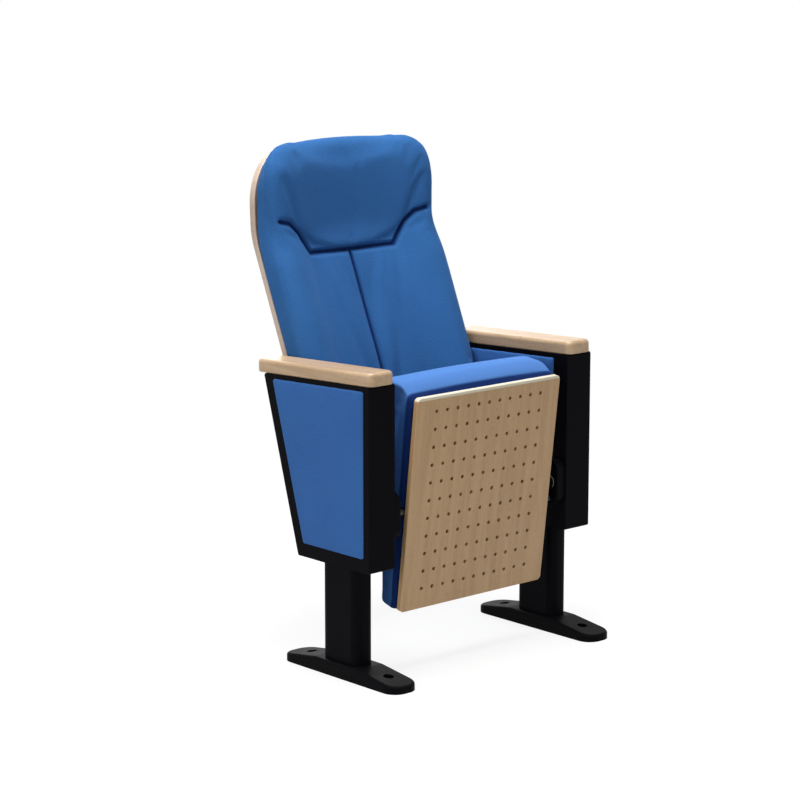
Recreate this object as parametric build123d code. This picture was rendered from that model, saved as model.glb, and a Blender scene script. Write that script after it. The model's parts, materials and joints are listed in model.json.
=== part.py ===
from build123d import *
import os
from math import asin, atan2, cos, degrees, hypot, radians, sin, sqrt, tan

# Tip-up auditorium seat, in millimetres. +X is the sitter's left-hand side, -Y is
# the front and +Z is up. The origin is on the floor, in the middle of the four
# anchor holes. The seat is drawn tipped up, as its springs leave it.

# ---- Driving dimensions ----------------------------------------------------
STANDARD_SPACING = 560.0  # between the middles of the two side standards

# Feet, cast, hollow underneath
FOOT_LENGTH = 354.0
FOOT_WIDTH = 74.0
FOOT_CORNER_RADIUS = 31.0
FOOT_END_HEIGHT = 15.0
FOOT_HEIGHT = 30.0
FOOT_DECK_LENGTH = 134.0  # level part of the top, round the column
FOOT_DECK_BEND = 60.0
FOOT_WALL = 7.0
FOOT_POCKET_DEPTH = 8.0
FOOT_EDGE_RADIUS = 6.0
SOCKET_FLOOR_Z = 12.0
SOCKET_WALL = 9.0
ANCHOR_SPACING = 240.0
ANCHOR_HOLE_DIAMETER = 11.0
ANCHOR_BOSS_DIAMETER = 27.0
SPOTFACE_DIAMETER = 22.0
SPOTFACE_Z = 15.0

# Columns, flat-oval steel tube
COLUMN_WIDTH = 50.0
COLUMN_DEPTH = 110.0
COLUMN_CORNER_RADIUS = 19.0
COLUMN_WALL = 3.0
COLUMN_CENTRE_Y = 5.0

# Side standards, folded sheet-steel boxes with a window in each face
STANDARD_WIDTH = 70.0
STANDARD_FRONT_Y = -100.0
STANDARD_BOTTOM_Z = 235.0
STANDARD_HEIGHT = 381.0  # at its front
STANDARD_BOTTOM_DEPTH = 220.0
STANDARD_TOP_DEPTH = 330.0
ARM_SLOPE = 2.4  # the top falls to the rear
SHEET = 2.5
STANDARD_CORNER_RADIUS = 5.0
WINDOW_CORNER_RADIUS = 5.0
OUTER_FRONT_BORDER = 15.0
INNER_FRONT_BORDER = 40.0
REAR_BORDER = 24.0
BOTTOM_BORDER = 28.0
TOP_BORDER = 9.0

# Upholstered panels in the windows
PAD_PROUD = 2.0
PAD_EDGE_RADIUS = 1.8
PANEL_BOARD_THICKNESS = 6.0
PANEL_BOARD_LIP = 6.0
PANEL_BOARD_CORNER_RADIUS = 3.0
CLIP_LENGTH = 40.0
CLIP_HEIGHT = 16.0
CLIP_FROM_EDGE = 60.0

# Armrests
ARMREST_WIDTH = 68.0
ARMREST_LENGTH = 359.0
ARMREST_THICKNESS = 28.0
ARMREST_OVERHANG = 5.0  # in front of the side standard
ARMREST_CORNER_RADIUS = 16.0
ARMREST_TOP_RADIUS = 9.0
ARMREST_BOTTOM_RADIUS = 3.0
ARM_SCREW_DIAMETER = 6.0
ARM_SCREW_GRIP = 16.0
ARM_SCREW_HEAD_DIAMETER = 12.0
ARM_SCREW_HEAD_HEIGHT = 3.5
ARM_SCREW_FRONT_INSET = 28.0  # from the front of the side standard
ARM_SCREW_REAR_INSET = 80.0  # from the rear of its top

# Seat hinge
PIVOT_Y = -69.0
PIVOT_Z = 340.0
TIPPED_LEAN = 6.8  # forward of upright
SEAT_TRAVEL = 82.0
PIN_DIAMETER = 16.0
PIN_TAIL = 3.0
BUSH_WALL = 3.0
BUSH_FLANGE_DIAMETER = 30.0
BUSH_FLANGE_THICKNESS = 2.0
HOUSING_WIDTH = 54.0
HOUSING_HEIGHT = 96.0
HOUSING_CORNER_RADIUS = 22.0
HOUSING_EDGE_RADIUS = 2.0
HOUSING_THICKNESS = 21.0
CAVITY_DIAMETER = 44.0
CAVITY_DEPTH = 13.0
HINGE_SCREW_OFFSET = 37.0
HINGE_SCREW_DIAMETER = 6.0
HINGE_SCREW_HEAD_DIAMETER = 11.0
HINGE_SCREW_HEAD_HEIGHT = 4.0
HINGE_CORNER_DEPTH = 67.0  # plain steel corner of the inner face that carries the hinge
HINGE_CORNER_ABOVE_PIVOT = 65.0
DOUBLER_THICKNESS = 5.0
DOUBLER_WIDTH = 54.0
DOUBLER_HEIGHT = 110.0
RETAINER_DIAMETER = 24.0
RETAINER_THICKNESS = 2.0

# Return spring, a flat spiral of half turns
SPRING_STRIP = 1.6
SPRING_WIDTH = 9.0
SPRING_HALF_TURNS = 6
SPRING_GROWTH = 1.85  # of the radius, each half turn
SPRING_PIN_GAP = 0.6

# Stops
STOP_MIDDLE_ANGLE = 0.0  # of the lever at half travel, from +Y towards +Z
PEG_RADIUS = 29.0
PEG_DIAMETER = 8.0
PEG_PAST_LEVER = 2.7
BUFFER_DIAMETER = 15.0
LEVER_HUB_DIAMETER = 32.0
LEVER_WIDTH = 12.0
LEVER_REACH = 39.0
LEVER_THICKNESS = 5.0

# Seat. Lengths along it start at the board's rear end, heights at its outer face.
BOARD_LENGTH = 456.0
BOARD_THICKNESS = 12.0
BOARD_CORNER_RADIUS = 10.0
BOARD_EDGE_RADIUS = 1.5
PIVOT_FROM_REAR = 210.0
HOLE_DIAMETER = 8.0
HOLE_COLUMNS = 11
HOLE_ROWS = 11
HOLE_PITCH_ACROSS = 29.5
HOLE_PITCH_ALONG = 38.0
HOLE_REAR_MARGIN = 44.0
RAIL = 24.0  # square tube of the seat frame
RAIL_WALL = 2.0
RAIL_INSET = 4.5  # from the board's side edges
SEAT_FRAME_REAR_MARGIN = 25.0
SEAT_FRAME_FRONT_MARGIN = 26.0
SEAT_FRAME_CORNER_RADIUS = 12.0
PIN_BOSS_LENGTH = 35.0
STRAP_WIDTH = 50.0
STRAP_THICKNESS = 2.0
STRAP_PLACES = (90.0, 270.0, 350.0)
BOARD_SCREW_DIAMETER = 5.0
BOARD_SCREW_GRIP = 8.0
BOARD_SCREW_HEAD_DIAMETER = 9.0
BOARD_SCREW_HEAD_HEIGHT = 2.5
BOARD_SCREW_REAR_INSET = 30.0  # from the rear of the seat frame
BOARD_SCREW_FRONT_INSET = 35.0  # from its front
BOARD_SCREW_BEHIND_PIVOT = 60.0
BOARD_SCREW_BEFORE_PIVOT = 100.0
CUSHION_LIP = 8.0  # beyond the board's side edges
CUSHION_DRAWN_IN = 3.0  # of each side, at mid length
CUSHION_REAR_OVERHANG = 5.0
CUSHION_FRONT_OVERHANG = 14.0
CUSHION_REAR_HEIGHT = 68.0
CUSHION_FRONT_HEIGHT = 138.0
CUSHION_REAR_CROWN = 4.0
CUSHION_FRONT_CROWN = 10.0
CUSHION_FRONT_BULGE = 5.0
CUSHION_REAR_RADIUS = 14.0
CUSHION_FRONT_RADIUS = 26.0
CUSHION_SIDE_RADIUS = 13.0
CUSHION_STATIONS = (-1.0, -0.6, 0.0, 0.6, 1.0)  # across the width

# Back. Its profile, at the middle of the cushion's front, is three straight
# stretches joined by bends. Everything in the back repeats that profile.
BACK_SEAT_GAP = 14.5  # behind the rear end of the opened seat
BACK_ABOVE_PIVOT = 45.0
LUMBAR_RISE = 135.0
STRAIGHT_RISE = 344.0
HEADREST_RISE = 202.0
LUMBAR_LEAN = 10.0
STRAIGHT_LEAN = 23.0
HEADREST_LEAN = 3.0
LUMBAR_BEND = 500.0
HEADREST_BEND = 160.0
LINER_DEPTH = 8.0  # board between the shell and the cushion
LINER_SETBACK = 11.0  # from the shell's edge, which leaves a dark joint
SHELL_DEPTH = 16.0
SHELL_HOLLOW = 43.0  # how far its side edges come forward of its middle
SHELL_TOP_CORNER = 116.0
SHELL_BOTTOM_CORNER = 45.0
SHELL_TOP_ARCH = 15.0
SHELL_TOP_DROP = 20.0  # below the top of the cushion, which hides the shell there
SHELL_EDGE_RADIUS = 2.5
BACK_SIDE_GAP = 5.0  # between the shell and the brackets
BACK_CUSHION_LIP = 5.0  # of shell showing round the cushion
BACK_CUSHION_DEPTH = 52.0
BACK_CUSHION_HOLLOW = 56.0
BACK_CUSHION_RADIUS = 30.0
GROOVE_WIDTH = 7.0
GROOVE_DEPTH = 7.0
GROOVE_CORNERS = ((0.0, -42.0), (118.0, -40.0), (152.0, 6.0), (186.0, 29.0), (245.0, 48.0))

# Back brackets and their fasteners
BRACKET_THICKNESS = 4.0
BRACKET_ABOVE_BACK_BOTTOM = 55.0
BRACKET_HEIGHT = 120.0
BRACKET_LAP = 22.0  # over the side standard's inner face
BRACKET_FLANGE = 62.0
BRACKET_BOLT_SPACING = 70.0
BRACKET_BOLT_INSET = 10.5  # from the side standard's rear edge
SHELL_BOLT_INSET = 32.0  # from the bracket's side
BOLT_DIAMETER = 8.0
BOLT_HEAD_DIAMETER = 13.0
BOLT_HEAD_HEIGHT = 4.0
WELD_NUT_DIAMETER = 13.0
WELD_NUT_HEIGHT = 6.0
TEE_NUT_DIAMETER = 20.0
TEE_NUT_FLANGE = 2.0

# Clearances
SOCKET_CLEARANCE = 0.2
PANEL_CLEARANCE = 0.5
PIN_CLEARANCE = 0.05
HOLE_CLEARANCE = 0.5
SEAT_CLEARANCE = 0.3
STOP_CLEARANCE = 0.3
FOAM_CLEARANCE = 0.3
PIN_HOLE_CLEARANCE = 1.0  # round the pin, in sheet and foam

# ---- Places that follow ----------------------------------------------------
STANDARD_X = STANDARD_SPACING / 2
INNER_X = STANDARD_X - STANDARD_WIDTH / 2
OUTER_X = STANDARD_X + STANDARD_WIDTH / 2
STANDARD_TOP_Z = STANDARD_BOTTOM_Z + STANDARD_HEIGHT
HOUSING_X = INNER_X - HOUSING_THICKNESS
WEB_X = INNER_X - CAVITY_DEPTH
BUSH_DIAMETER = PIN_DIAMETER + 2 * PIN_CLEARANCE + 2 * BUSH_WALL
DOUBLER_X = INNER_X + SHEET + DOUBLER_THICKNESS
LEVER_X = HOUSING_X - BUSH_FLANGE_THICKNESS - SEAT_CLEARANCE
PEG_X = LEVER_X - LEVER_THICKNESS - PEG_PAST_LEVER
SEAT_SIDE_GAP = 4.0  # between the stop pegs and the cushion
CUSHION_X = PEG_X - SEAT_SIDE_GAP
BOARD_X = CUSHION_X - CUSHION_LIP
RAIL_X = BOARD_X - RAIL_INSET
PIVOT_HEIGHT = BOARD_THICKNESS + RAIL / 2
SEAT_FRAME_TOP = BOARD_THICKNESS + RAIL
SEAT_FRAME_FRONT = BOARD_LENGTH - SEAT_FRAME_FRONT_MARGIN
SEAT_FRAME_LENGTH = SEAT_FRAME_FRONT - SEAT_FRAME_REAR_MARGIN
SEAT_FRAME_MIDDLE = (SEAT_FRAME_FRONT + SEAT_FRAME_REAR_MARGIN) / 2
BOARD_SCREW_PLACES = (
    SEAT_FRAME_REAR_MARGIN + BOARD_SCREW_REAR_INSET,
    PIVOT_FROM_REAR - BOARD_SCREW_BEHIND_PIVOT,
    PIVOT_FROM_REAR + BOARD_SCREW_BEFORE_PIVOT,
    SEAT_FRAME_FRONT - BOARD_SCREW_FRONT_INSET,
)
STOP_ANGLE = degrees(asin((LEVER_WIDTH / 2 + BUFFER_DIAMETER / 2 + STOP_CLEARANCE) / PEG_RADIUS))
BRACKET_X = INNER_X - BRACKET_THICKNESS
SHELL_X = BRACKET_X - BACK_SIDE_GAP
SHELL_FRONT = BACK_CUSHION_DEPTH + LINER_DEPTH
SHELL_REAR = SHELL_FRONT + SHELL_DEPTH
BACK_CUSHION_X = SHELL_X - BACK_CUSHION_LIP
BACK_BOTTOM_Y = PIVOT_Y + PIVOT_FROM_REAR + CUSHION_REAR_OVERHANG + BACK_SEAT_GAP
BACK_BOTTOM_Z = PIVOT_Z + BACK_ABOVE_PIVOT
HEADREST_Z = BACK_BOTTOM_Z + LUMBAR_RISE + STRAIGHT_RISE
BACK_TOP_Z = HEADREST_Z + HEADREST_RISE
BRACKET_Z = BACK_BOTTOM_Z + BRACKET_ABOVE_BACK_BOTTOM + BRACKET_HEIGHT / 2
SPARE = 20.0  # drawn beyond the back's outline, then cut away
FAR = 1000.0  # longer than any cut needs to be
BASE = (Align.CENTER, Align.CENTER, Align.MIN)
UP = Vector(0, 0, 1)
FRONT = Vector(0, -1, 0)
REAR = Vector(0, 1, 0)
INWARD = Vector(-1, 0, 0)
OUTWARD = Vector(1, 0, 0)


# ---- Helpers ---------------------------------------------------------------
def prism_x(outline, x_from, x_to):
    """A (Y, Z) outline made solid between two X values."""
    return extrude(Plane.YZ.offset(x_from) * outline, x_to - x_from)


def rod_x(diameter, x_from, x_to, y, z):
    rod = Cylinder(diameter / 2, x_to - x_from, align=BASE)
    return Pos(x_from, y, z) * Rot(0, 90, 0) * rod


def rod_z(diameter, x, y, z_from, z_to):
    return Pos(x, y, z_from) * Cylinder(diameter / 2, z_to - z_from, align=BASE)


def group(pieces):
    return Compound(children=[solid for piece in pieces for solid in piece.solids()])


def other_side(piece):
    """The same piece on the other side of the seat."""
    return group([solid.mirror(Plane.YZ) for solid in piece.solids()])


def both_sides(pieces):
    return group(pieces + [other_side(piece) for piece in pieces])


def rounded(points, radius):
    outline = Polygon(*points, align=None)
    return fillet(outline.vertices(), radius)


def rim(piece, direction):
    """The edges round the part of a piece's surface that looks in a direction."""
    faces = [face for face in piece.faces() if face.normal_at().dot(direction) > 0.5]
    edges = [edge for face in faces for edge in face.edges()]
    return [edge for edge in edges if sum(edge.is_same(other) for other in edges) == 1]


def on_top(piece):
    """A piece drawn on a level top, Y from the standard's front, set on the sloping top."""
    return Pos(STANDARD_X, STANDARD_FRONT_Y, STANDARD_TOP_Z) * Rot(-ARM_SLOPE, 0, 0) * piece


# ---- Feet and columns ------------------------------------------------------
def column_outline(grow):
    return RectangleRounded(COLUMN_WIDTH + 2 * grow, COLUMN_DEPTH + 2 * grow, COLUMN_CORNER_RADIUS + grow)


def foot():
    half = FOOT_LENGTH / 2
    deck_front = COLUMN_CENTRE_Y - FOOT_DECK_LENGTH / 2
    deck_rear = COLUMN_CENTRE_Y + FOOT_DECK_LENGTH / 2
    top = FilletPolyline(
        (-half, FOOT_END_HEIGHT),
        (deck_front, FOOT_HEIGHT),
        (deck_rear, FOOT_HEIGHT),
        (half, FOOT_END_HEIGHT),
        radius=FOOT_DECK_BEND,
    )
    sides = Polyline((half, FOOT_END_HEIGHT), (half, 0), (-half, 0), (-half, FOOT_END_HEIGHT))
    body = prism_x(make_face(top + sides), -FOOT_WIDTH / 2, FOOT_WIDTH / 2)
    body &= extrude(RectangleRounded(FOOT_WIDTH, FOOT_LENGTH, FOOT_CORNER_RADIUS), FOOT_HEIGHT)
    body = fillet(rim(body, UP), FOOT_EDGE_RADIUS)

    pocket_radius = FOOT_CORNER_RADIUS - FOOT_WALL
    pocket = RectangleRounded(FOOT_WIDTH - 2 * FOOT_WALL, FOOT_LENGTH - 2 * FOOT_WALL, pocket_radius)
    pocket -= Pos(0, COLUMN_CENTRE_Y) * column_outline(SOCKET_WALL)
    for y in (-ANCHOR_SPACING / 2, ANCHOR_SPACING / 2):
        pocket -= Pos(0, y) * Circle(ANCHOR_BOSS_DIAMETER / 2)
    body -= extrude(pocket, FOOT_POCKET_DEPTH)
    body -= Pos(0, COLUMN_CENTRE_Y, SOCKET_FLOOR_Z) * extrude(column_outline(SOCKET_CLEARANCE), FOOT_HEIGHT)
    for y in (-ANCHOR_SPACING / 2, ANCHOR_SPACING / 2):
        body -= rod_z(ANCHOR_HOLE_DIAMETER, 0, y, 0, FOOT_HEIGHT)
        body -= rod_z(SPOTFACE_DIAMETER, 0, y, SPOTFACE_Z, FOOT_HEIGHT)
    return Pos(STANDARD_X, 0, 0) * body


def column():
    """A tube from the foot's socket up to the underside of the side standard's top sheet."""
    tube = extrude(column_outline(0) - column_outline(-COLUMN_WALL), STANDARD_TOP_Z - SOCKET_FLOOR_Z)
    above_sheet = on_top(Pos(0, 0, -SHEET) * Box(FAR, FAR, FAR, align=BASE))
    return Pos(STANDARD_X, COLUMN_CENTRE_Y, SOCKET_FLOOR_Z) * tube - above_sheet


# ---- Side standards --------------------------------------------------------
REAR_SLOPE = (STANDARD_TOP_DEPTH - STANDARD_BOTTOM_DEPTH) / STANDARD_HEIGHT
TOP_FALL = tan(radians(ARM_SLOPE))


def rear_y(z, inset):
    """Y of the side standard's raked rear edge at a height, moved in by a distance."""
    edge = STANDARD_FRONT_Y + STANDARD_BOTTOM_DEPTH + REAR_SLOPE * (z - STANDARD_BOTTOM_Z)
    return edge - inset * hypot(1, REAR_SLOPE)


def standard_corners(front, rear, bottom, top):
    """Corners of the side standard's outline, each edge moved in by its own distance."""
    low = STANDARD_BOTTOM_Z + bottom
    front_y = STANDARD_FRONT_Y + front
    level = STANDARD_TOP_Z - top * hypot(1, TOP_FALL)  # of the top edge, were it to run on to the front
    depth = rear_y(level, rear) - STANDARD_FRONT_Y
    high = level - depth * TOP_FALL / (1 + REAR_SLOPE * TOP_FALL)
    front_high = level - front * TOP_FALL
    return [(front_y, low), (rear_y(low, rear), low), (rear_y(high, rear), high), (front_y, front_high)]


def outer_window(shrink, radius):
    borders = (OUTER_FRONT_BORDER, REAR_BORDER, BOTTOM_BORDER, TOP_BORDER)
    return rounded(standard_corners(*[border + shrink for border in borders]), radius)


def inner_window(shrink, radius):
    """The inner window has a step at its lower front, where the steel carries the hinge."""
    borders = (INNER_FRONT_BORDER, REAR_BORDER, BOTTOM_BORDER, TOP_BORDER)
    corners = standard_corners(*[border + shrink for border in borders])
    step_y = STANDARD_FRONT_Y + HINGE_CORNER_DEPTH + shrink
    step_z = PIVOT_Z + HINGE_CORNER_ABOVE_PIVOT + shrink
    front_y = corners[0][0]
    low = corners[0][1]
    return rounded([(step_y, low)] + corners[1:] + [(front_y, step_z), (step_y, step_z)], radius)


def side_standard():
    box = prism_x(rounded(standard_corners(0, 0, 0, 0), STANDARD_CORNER_RADIUS), INNER_X, OUTER_X)
    inside = rounded(standard_corners(SHEET, SHEET, SHEET, SHEET), STANDARD_CORNER_RADIUS - SHEET)
    box -= prism_x(inside, INNER_X + SHEET, OUTER_X - SHEET)
    box -= prism_x(outer_window(0, WINDOW_CORNER_RADIUS), STANDARD_X, OUTER_X)
    box -= prism_x(inner_window(0, WINDOW_CORNER_RADIUS), INNER_X, STANDARD_X)
    passage = extrude(column_outline(SOCKET_CLEARANCE), STANDARD_HEIGHT / 2)
    box -= Pos(STANDARD_X, COLUMN_CENTRE_Y, STANDARD_BOTTOM_Z) * passage
    for y in ARM_SCREW_YS:
        box -= on_top(rod_z(ARM_SCREW_DIAMETER + HOLE_CLEARANCE, 0, y, -SHEET, SHEET))
    box -= rod_x(PIN_DIAMETER + 2 * PIN_HOLE_CLEARANCE, INNER_X, INNER_X + SHEET, PIVOT_Y, PIVOT_Z)
    for z in HINGE_SCREW_ZS:
        box -= rod_x(HINGE_SCREW_DIAMETER + HOLE_CLEARANCE, INNER_X, INNER_X + SHEET, PIVOT_Y, z)
    for z in BRACKET_BOLT_ZS:
        y = rear_y(z, BRACKET_BOLT_INSET)
        box -= rod_x(BOLT_DIAMETER + HOLE_CLEARANCE, INNER_X, INNER_X + SHEET, y, z)
    return box


ARM_SCREW_YS = (ARM_SCREW_FRONT_INSET, STANDARD_TOP_DEPTH - ARM_SCREW_REAR_INSET)
HINGE_SCREW_ZS = (PIVOT_Z - HINGE_SCREW_OFFSET, PIVOT_Z + HINGE_SCREW_OFFSET)
BRACKET_BOLT_ZS = (BRACKET_Z - BRACKET_BOLT_SPACING / 2, BRACKET_Z + BRACKET_BOLT_SPACING / 2)


def outer_pad():
    outer_face = OUTER_X + PAD_PROUD
    pad = prism_x(outer_window(PANEL_CLEARANCE, WINDOW_CORNER_RADIUS), OUTER_X - SHEET, outer_face)
    return fillet(rim(pad, OUTWARD), PAD_EDGE_RADIUS)


def inner_pad():
    inner_face = INNER_X - PAD_PROUD
    pad = prism_x(inner_window(PANEL_CLEARANCE, WINDOW_CORNER_RADIUS), inner_face, INNER_X + SHEET)
    return fillet(rim(pad, INWARD), PAD_EDGE_RADIUS)


def outer_panel_board():
    back = OUTER_X - SHEET - PANEL_BOARD_THICKNESS
    return prism_x(outer_window(-PANEL_BOARD_LIP, PANEL_BOARD_CORNER_RADIUS), back, OUTER_X - SHEET)


def inner_panel_board():
    back = INNER_X + SHEET + PANEL_BOARD_THICKNESS
    return prism_x(inner_window(-PANEL_BOARD_LIP, PANEL_BOARD_CORNER_RADIUS), INNER_X + SHEET, back)


def panel_clips():
    """Spacers between the column and the boards of both panels."""
    inner_board = INNER_X + SHEET + PANEL_BOARD_THICKNESS
    outer_board = OUTER_X - SHEET - PANEL_BOARD_THICKNESS
    inner_gap = STANDARD_X - COLUMN_WIDTH / 2 - inner_board
    outer_gap = outer_board - STANDARD_X - COLUMN_WIDTH / 2
    clips = []
    for z in (STANDARD_BOTTOM_Z + CLIP_FROM_EDGE, STANDARD_TOP_Z - CLIP_FROM_EDGE):
        for x, gap in ((inner_board + inner_gap / 2, inner_gap), (outer_board - outer_gap / 2, outer_gap)):
            clips.append(Pos(x, COLUMN_CENTRE_Y, z) * Box(gap, CLIP_LENGTH, CLIP_HEIGHT))
    return both_sides(clips)


# ---- Armrests --------------------------------------------------------------
def armrest():
    plan = RectangleRounded(ARMREST_WIDTH, ARMREST_LENGTH, ARMREST_CORNER_RADIUS)
    rest = extrude(plan, ARMREST_THICKNESS)
    rest = fillet(rim(rest, UP), ARMREST_TOP_RADIUS)
    rest = fillet(rim(rest, -UP), ARMREST_BOTTOM_RADIUS)
    rest = Pos(0, ARMREST_LENGTH / 2 - ARMREST_OVERHANG) * rest
    for y in ARM_SCREW_YS:
        rest -= rod_z(ARM_SCREW_DIAMETER, 0, y, 0, ARM_SCREW_GRIP)
    return on_top(rest)


def armrest_screws():
    screws = []
    for y in ARM_SCREW_YS:
        shank = rod_z(ARM_SCREW_DIAMETER, 0, y, -SHEET, ARM_SCREW_GRIP)
        head = rod_z(ARM_SCREW_HEAD_DIAMETER, 0, y, -SHEET - ARM_SCREW_HEAD_HEIGHT, -SHEET)
        screws.append(on_top(shank + head))
    return both_sides(screws)


# ---- Hinge, fixed side -----------------------------------------------------
def at_pivot(outline, angle=0.0):
    """A (Y, Z) outline drawn about its own origin, turned and moved to the pivot."""
    return Pos(PIVOT_Y, PIVOT_Z) * Rot(0, 0, angle) * outline


def hinge_doubler():
    plate = prism_x(at_pivot(Rectangle(DOUBLER_WIDTH, DOUBLER_HEIGHT)), INNER_X + SHEET, DOUBLER_X)
    plate -= rod_x(PIN_DIAMETER + 2 * PIN_HOLE_CLEARANCE, INNER_X, DOUBLER_X, PIVOT_Y, PIVOT_Z)
    for z in HINGE_SCREW_ZS:
        plate -= rod_x(HINGE_SCREW_DIAMETER, INNER_X, DOUBLER_X, PIVOT_Y, z)
    return plate


def peg_place(side):
    """Where a stop peg stands: side -1 stops the tipped seat, side 1 the opened one."""
    angle = radians(STOP_MIDDLE_ANGLE + side * (SEAT_TRAVEL / 2 + STOP_ANGLE))
    return PIVOT_Y + PEG_RADIUS * cos(angle), PIVOT_Z + PEG_RADIUS * sin(angle)


def hinge_housing():
    outline = RectangleRounded(HOUSING_WIDTH, HOUSING_HEIGHT, HOUSING_CORNER_RADIUS)
    body = prism_x(at_pivot(outline), HOUSING_X, INNER_X)
    body = fillet(rim(body, INWARD), HOUSING_EDGE_RADIUS)
    body -= rod_x(CAVITY_DIAMETER, WEB_X, INNER_X, PIVOT_Y, PIVOT_Z)
    body -= rod_x(BUSH_DIAMETER, HOUSING_X, WEB_X, PIVOT_Y, PIVOT_Z)
    seat_x = HOUSING_X + HINGE_SCREW_HEAD_HEIGHT
    for z in HINGE_SCREW_ZS:
        body -= rod_x(HINGE_SCREW_DIAMETER + HOLE_CLEARANCE, HOUSING_X, INNER_X, PIVOT_Y, z)
        body -= rod_x(HINGE_SCREW_HEAD_DIAMETER + HOLE_CLEARANCE, HOUSING_X, seat_x, PIVOT_Y, z)
    for side in (-1, 1):
        y, z = peg_place(side)
        body += rod_x(PEG_DIAMETER, PEG_X, HOUSING_X, y, z)
    return body


def hinge_bush():
    bush = rod_x(BUSH_DIAMETER, HOUSING_X, WEB_X, PIVOT_Y, PIVOT_Z)
    bush += rod_x(BUSH_FLANGE_DIAMETER, HOUSING_X - BUSH_FLANGE_THICKNESS, HOUSING_X, PIVOT_Y, PIVOT_Z)
    return bush - rod_x(PIN_DIAMETER + 2 * PIN_CLEARANCE, PEG_X, WEB_X, PIVOT_Y, PIVOT_Z)


def hinge_screws():
    seat_x = HOUSING_X + HINGE_SCREW_HEAD_HEIGHT
    screws = []
    for z in HINGE_SCREW_ZS:
        shank = rod_x(HINGE_SCREW_DIAMETER, seat_x, DOUBLER_X, PIVOT_Y, z)
        screws.append(shank + rod_x(HINGE_SCREW_HEAD_DIAMETER, HOUSING_X, seat_x, PIVOT_Y, z))
    return both_sides(screws)


def stop_buffers():
    buffers = []
    for side in (-1, 1):
        y, z = peg_place(side)
        sleeve = rod_x(BUFFER_DIAMETER, PEG_X, HOUSING_X, y, z) - rod_x(PEG_DIAMETER, PEG_X, HOUSING_X, y, z)
        buffers.append(sleeve)
    return group(buffers)


def return_spring():
    """Half rings whose radius grows by one step and whose centre swaps sides each time."""
    first = PIN_DIAMETER / 2 + SPRING_PIN_GAP + SPRING_STRIP / 2
    strip = Sketch()
    for turn in range(SPRING_HALF_TURNS):
        radius = first + turn * SPRING_GROWTH
        ring = Circle(radius + SPRING_STRIP / 2) - Circle(radius - SPRING_STRIP / 2)
        upper = turn % 2 == 0
        half = ring & Pos(0, FAR / 2 if upper else -FAR / 2) * Rectangle(FAR, FAR)
        strip += Pos(0 if upper else SPRING_GROWTH, 0) * half
    inner_end = PIN_DIAMETER / 2 + SEAT_CLEARANCE
    strip += Pos(inner_end, 0) * Rectangle(first - inner_end, SPRING_STRIP, align=Align.MIN)
    last = first + SPRING_HALF_TURNS * SPRING_GROWTH
    outer_end = CAVITY_DIAMETER / 2 - SEAT_CLEARANCE
    strip += Pos(last, -SPRING_STRIP) * Rectangle(outer_end - last, SPRING_STRIP, align=Align.MIN)
    middle_x = (WEB_X + INNER_X) / 2
    return prism_x(at_pivot(strip), middle_x - SPRING_WIDTH / 2, middle_x + SPRING_WIDTH / 2)


# ---- Seat, moving side -----------------------------------------------------
def tipped(piece):
    """From the level seat, drawn about the pivot, to its place when tipped up."""
    return Pos(0, PIVOT_Y, PIVOT_Z) * Rot(TIPPED_LEAN - 90, 0, 0) * piece


def along(distance):
    """Y of a distance along the level seat from the rear end of its board."""
    return PIVOT_FROM_REAR - distance


def above(height):
    """Z of a height above the outer face of the level seat's board."""
    return height - PIVOT_HEIGHT


def seat_board():
    plate = Pos(0, along(BOARD_LENGTH / 2)) * RectangleRounded(2 * BOARD_X, BOARD_LENGTH, BOARD_CORNER_RADIUS)
    board = Pos(0, 0, above(0)) * extrude(plate, BOARD_THICKNESS)
    board = fillet(rim(board, UP) + rim(board, -UP), BOARD_EDGE_RADIUS)
    first_row = HOLE_REAR_MARGIN
    last_row = HOLE_REAR_MARGIN + (HOLE_ROWS - 1) * HOLE_PITCH_ALONG
    grid = GridLocations(HOLE_PITCH_ACROSS, HOLE_PITCH_ALONG, HOLE_COLUMNS, HOLE_ROWS)
    holes = extrude(Sketch() + grid * Circle(HOLE_DIAMETER / 2), BOARD_THICKNESS)
    board -= Pos(0, along((first_row + last_row) / 2), above(0)) * holes
    tip = above(BOARD_THICKNESS - BOARD_SCREW_GRIP)
    for x, place in board_screw_places():
        board -= rod_z(BOARD_SCREW_DIAMETER, x, along(place), tip, above(BOARD_THICKNESS))
    return tipped(board)


def board_screw_places():
    middle = RAIL_X - RAIL / 2
    return [(x, place) for x in (-middle, middle) for place in BOARD_SCREW_PLACES]


def frame_window(rear, front, grow):
    """An opening of the seat frame between two cross tubes."""
    width = 2 * (RAIL_X - RAIL + grow)
    length = front - rear + 2 * grow
    return Pos(0, along((rear + front) / 2)) * Rectangle(width, length)


def seat_frame_plan(shrink):
    length = SEAT_FRAME_LENGTH - 2 * shrink
    hoop = RectangleRounded(2 * (RAIL_X - shrink), length, SEAT_FRAME_CORNER_RADIUS - shrink)
    plan = Pos(0, along(SEAT_FRAME_MIDDLE)) * hoop
    plan -= frame_window(SEAT_FRAME_REAR_MARGIN + RAIL, PIVOT_FROM_REAR - RAIL / 2, shrink)
    plan -= frame_window(PIVOT_FROM_REAR + RAIL / 2, SEAT_FRAME_FRONT - RAIL, shrink)
    return plan


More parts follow.
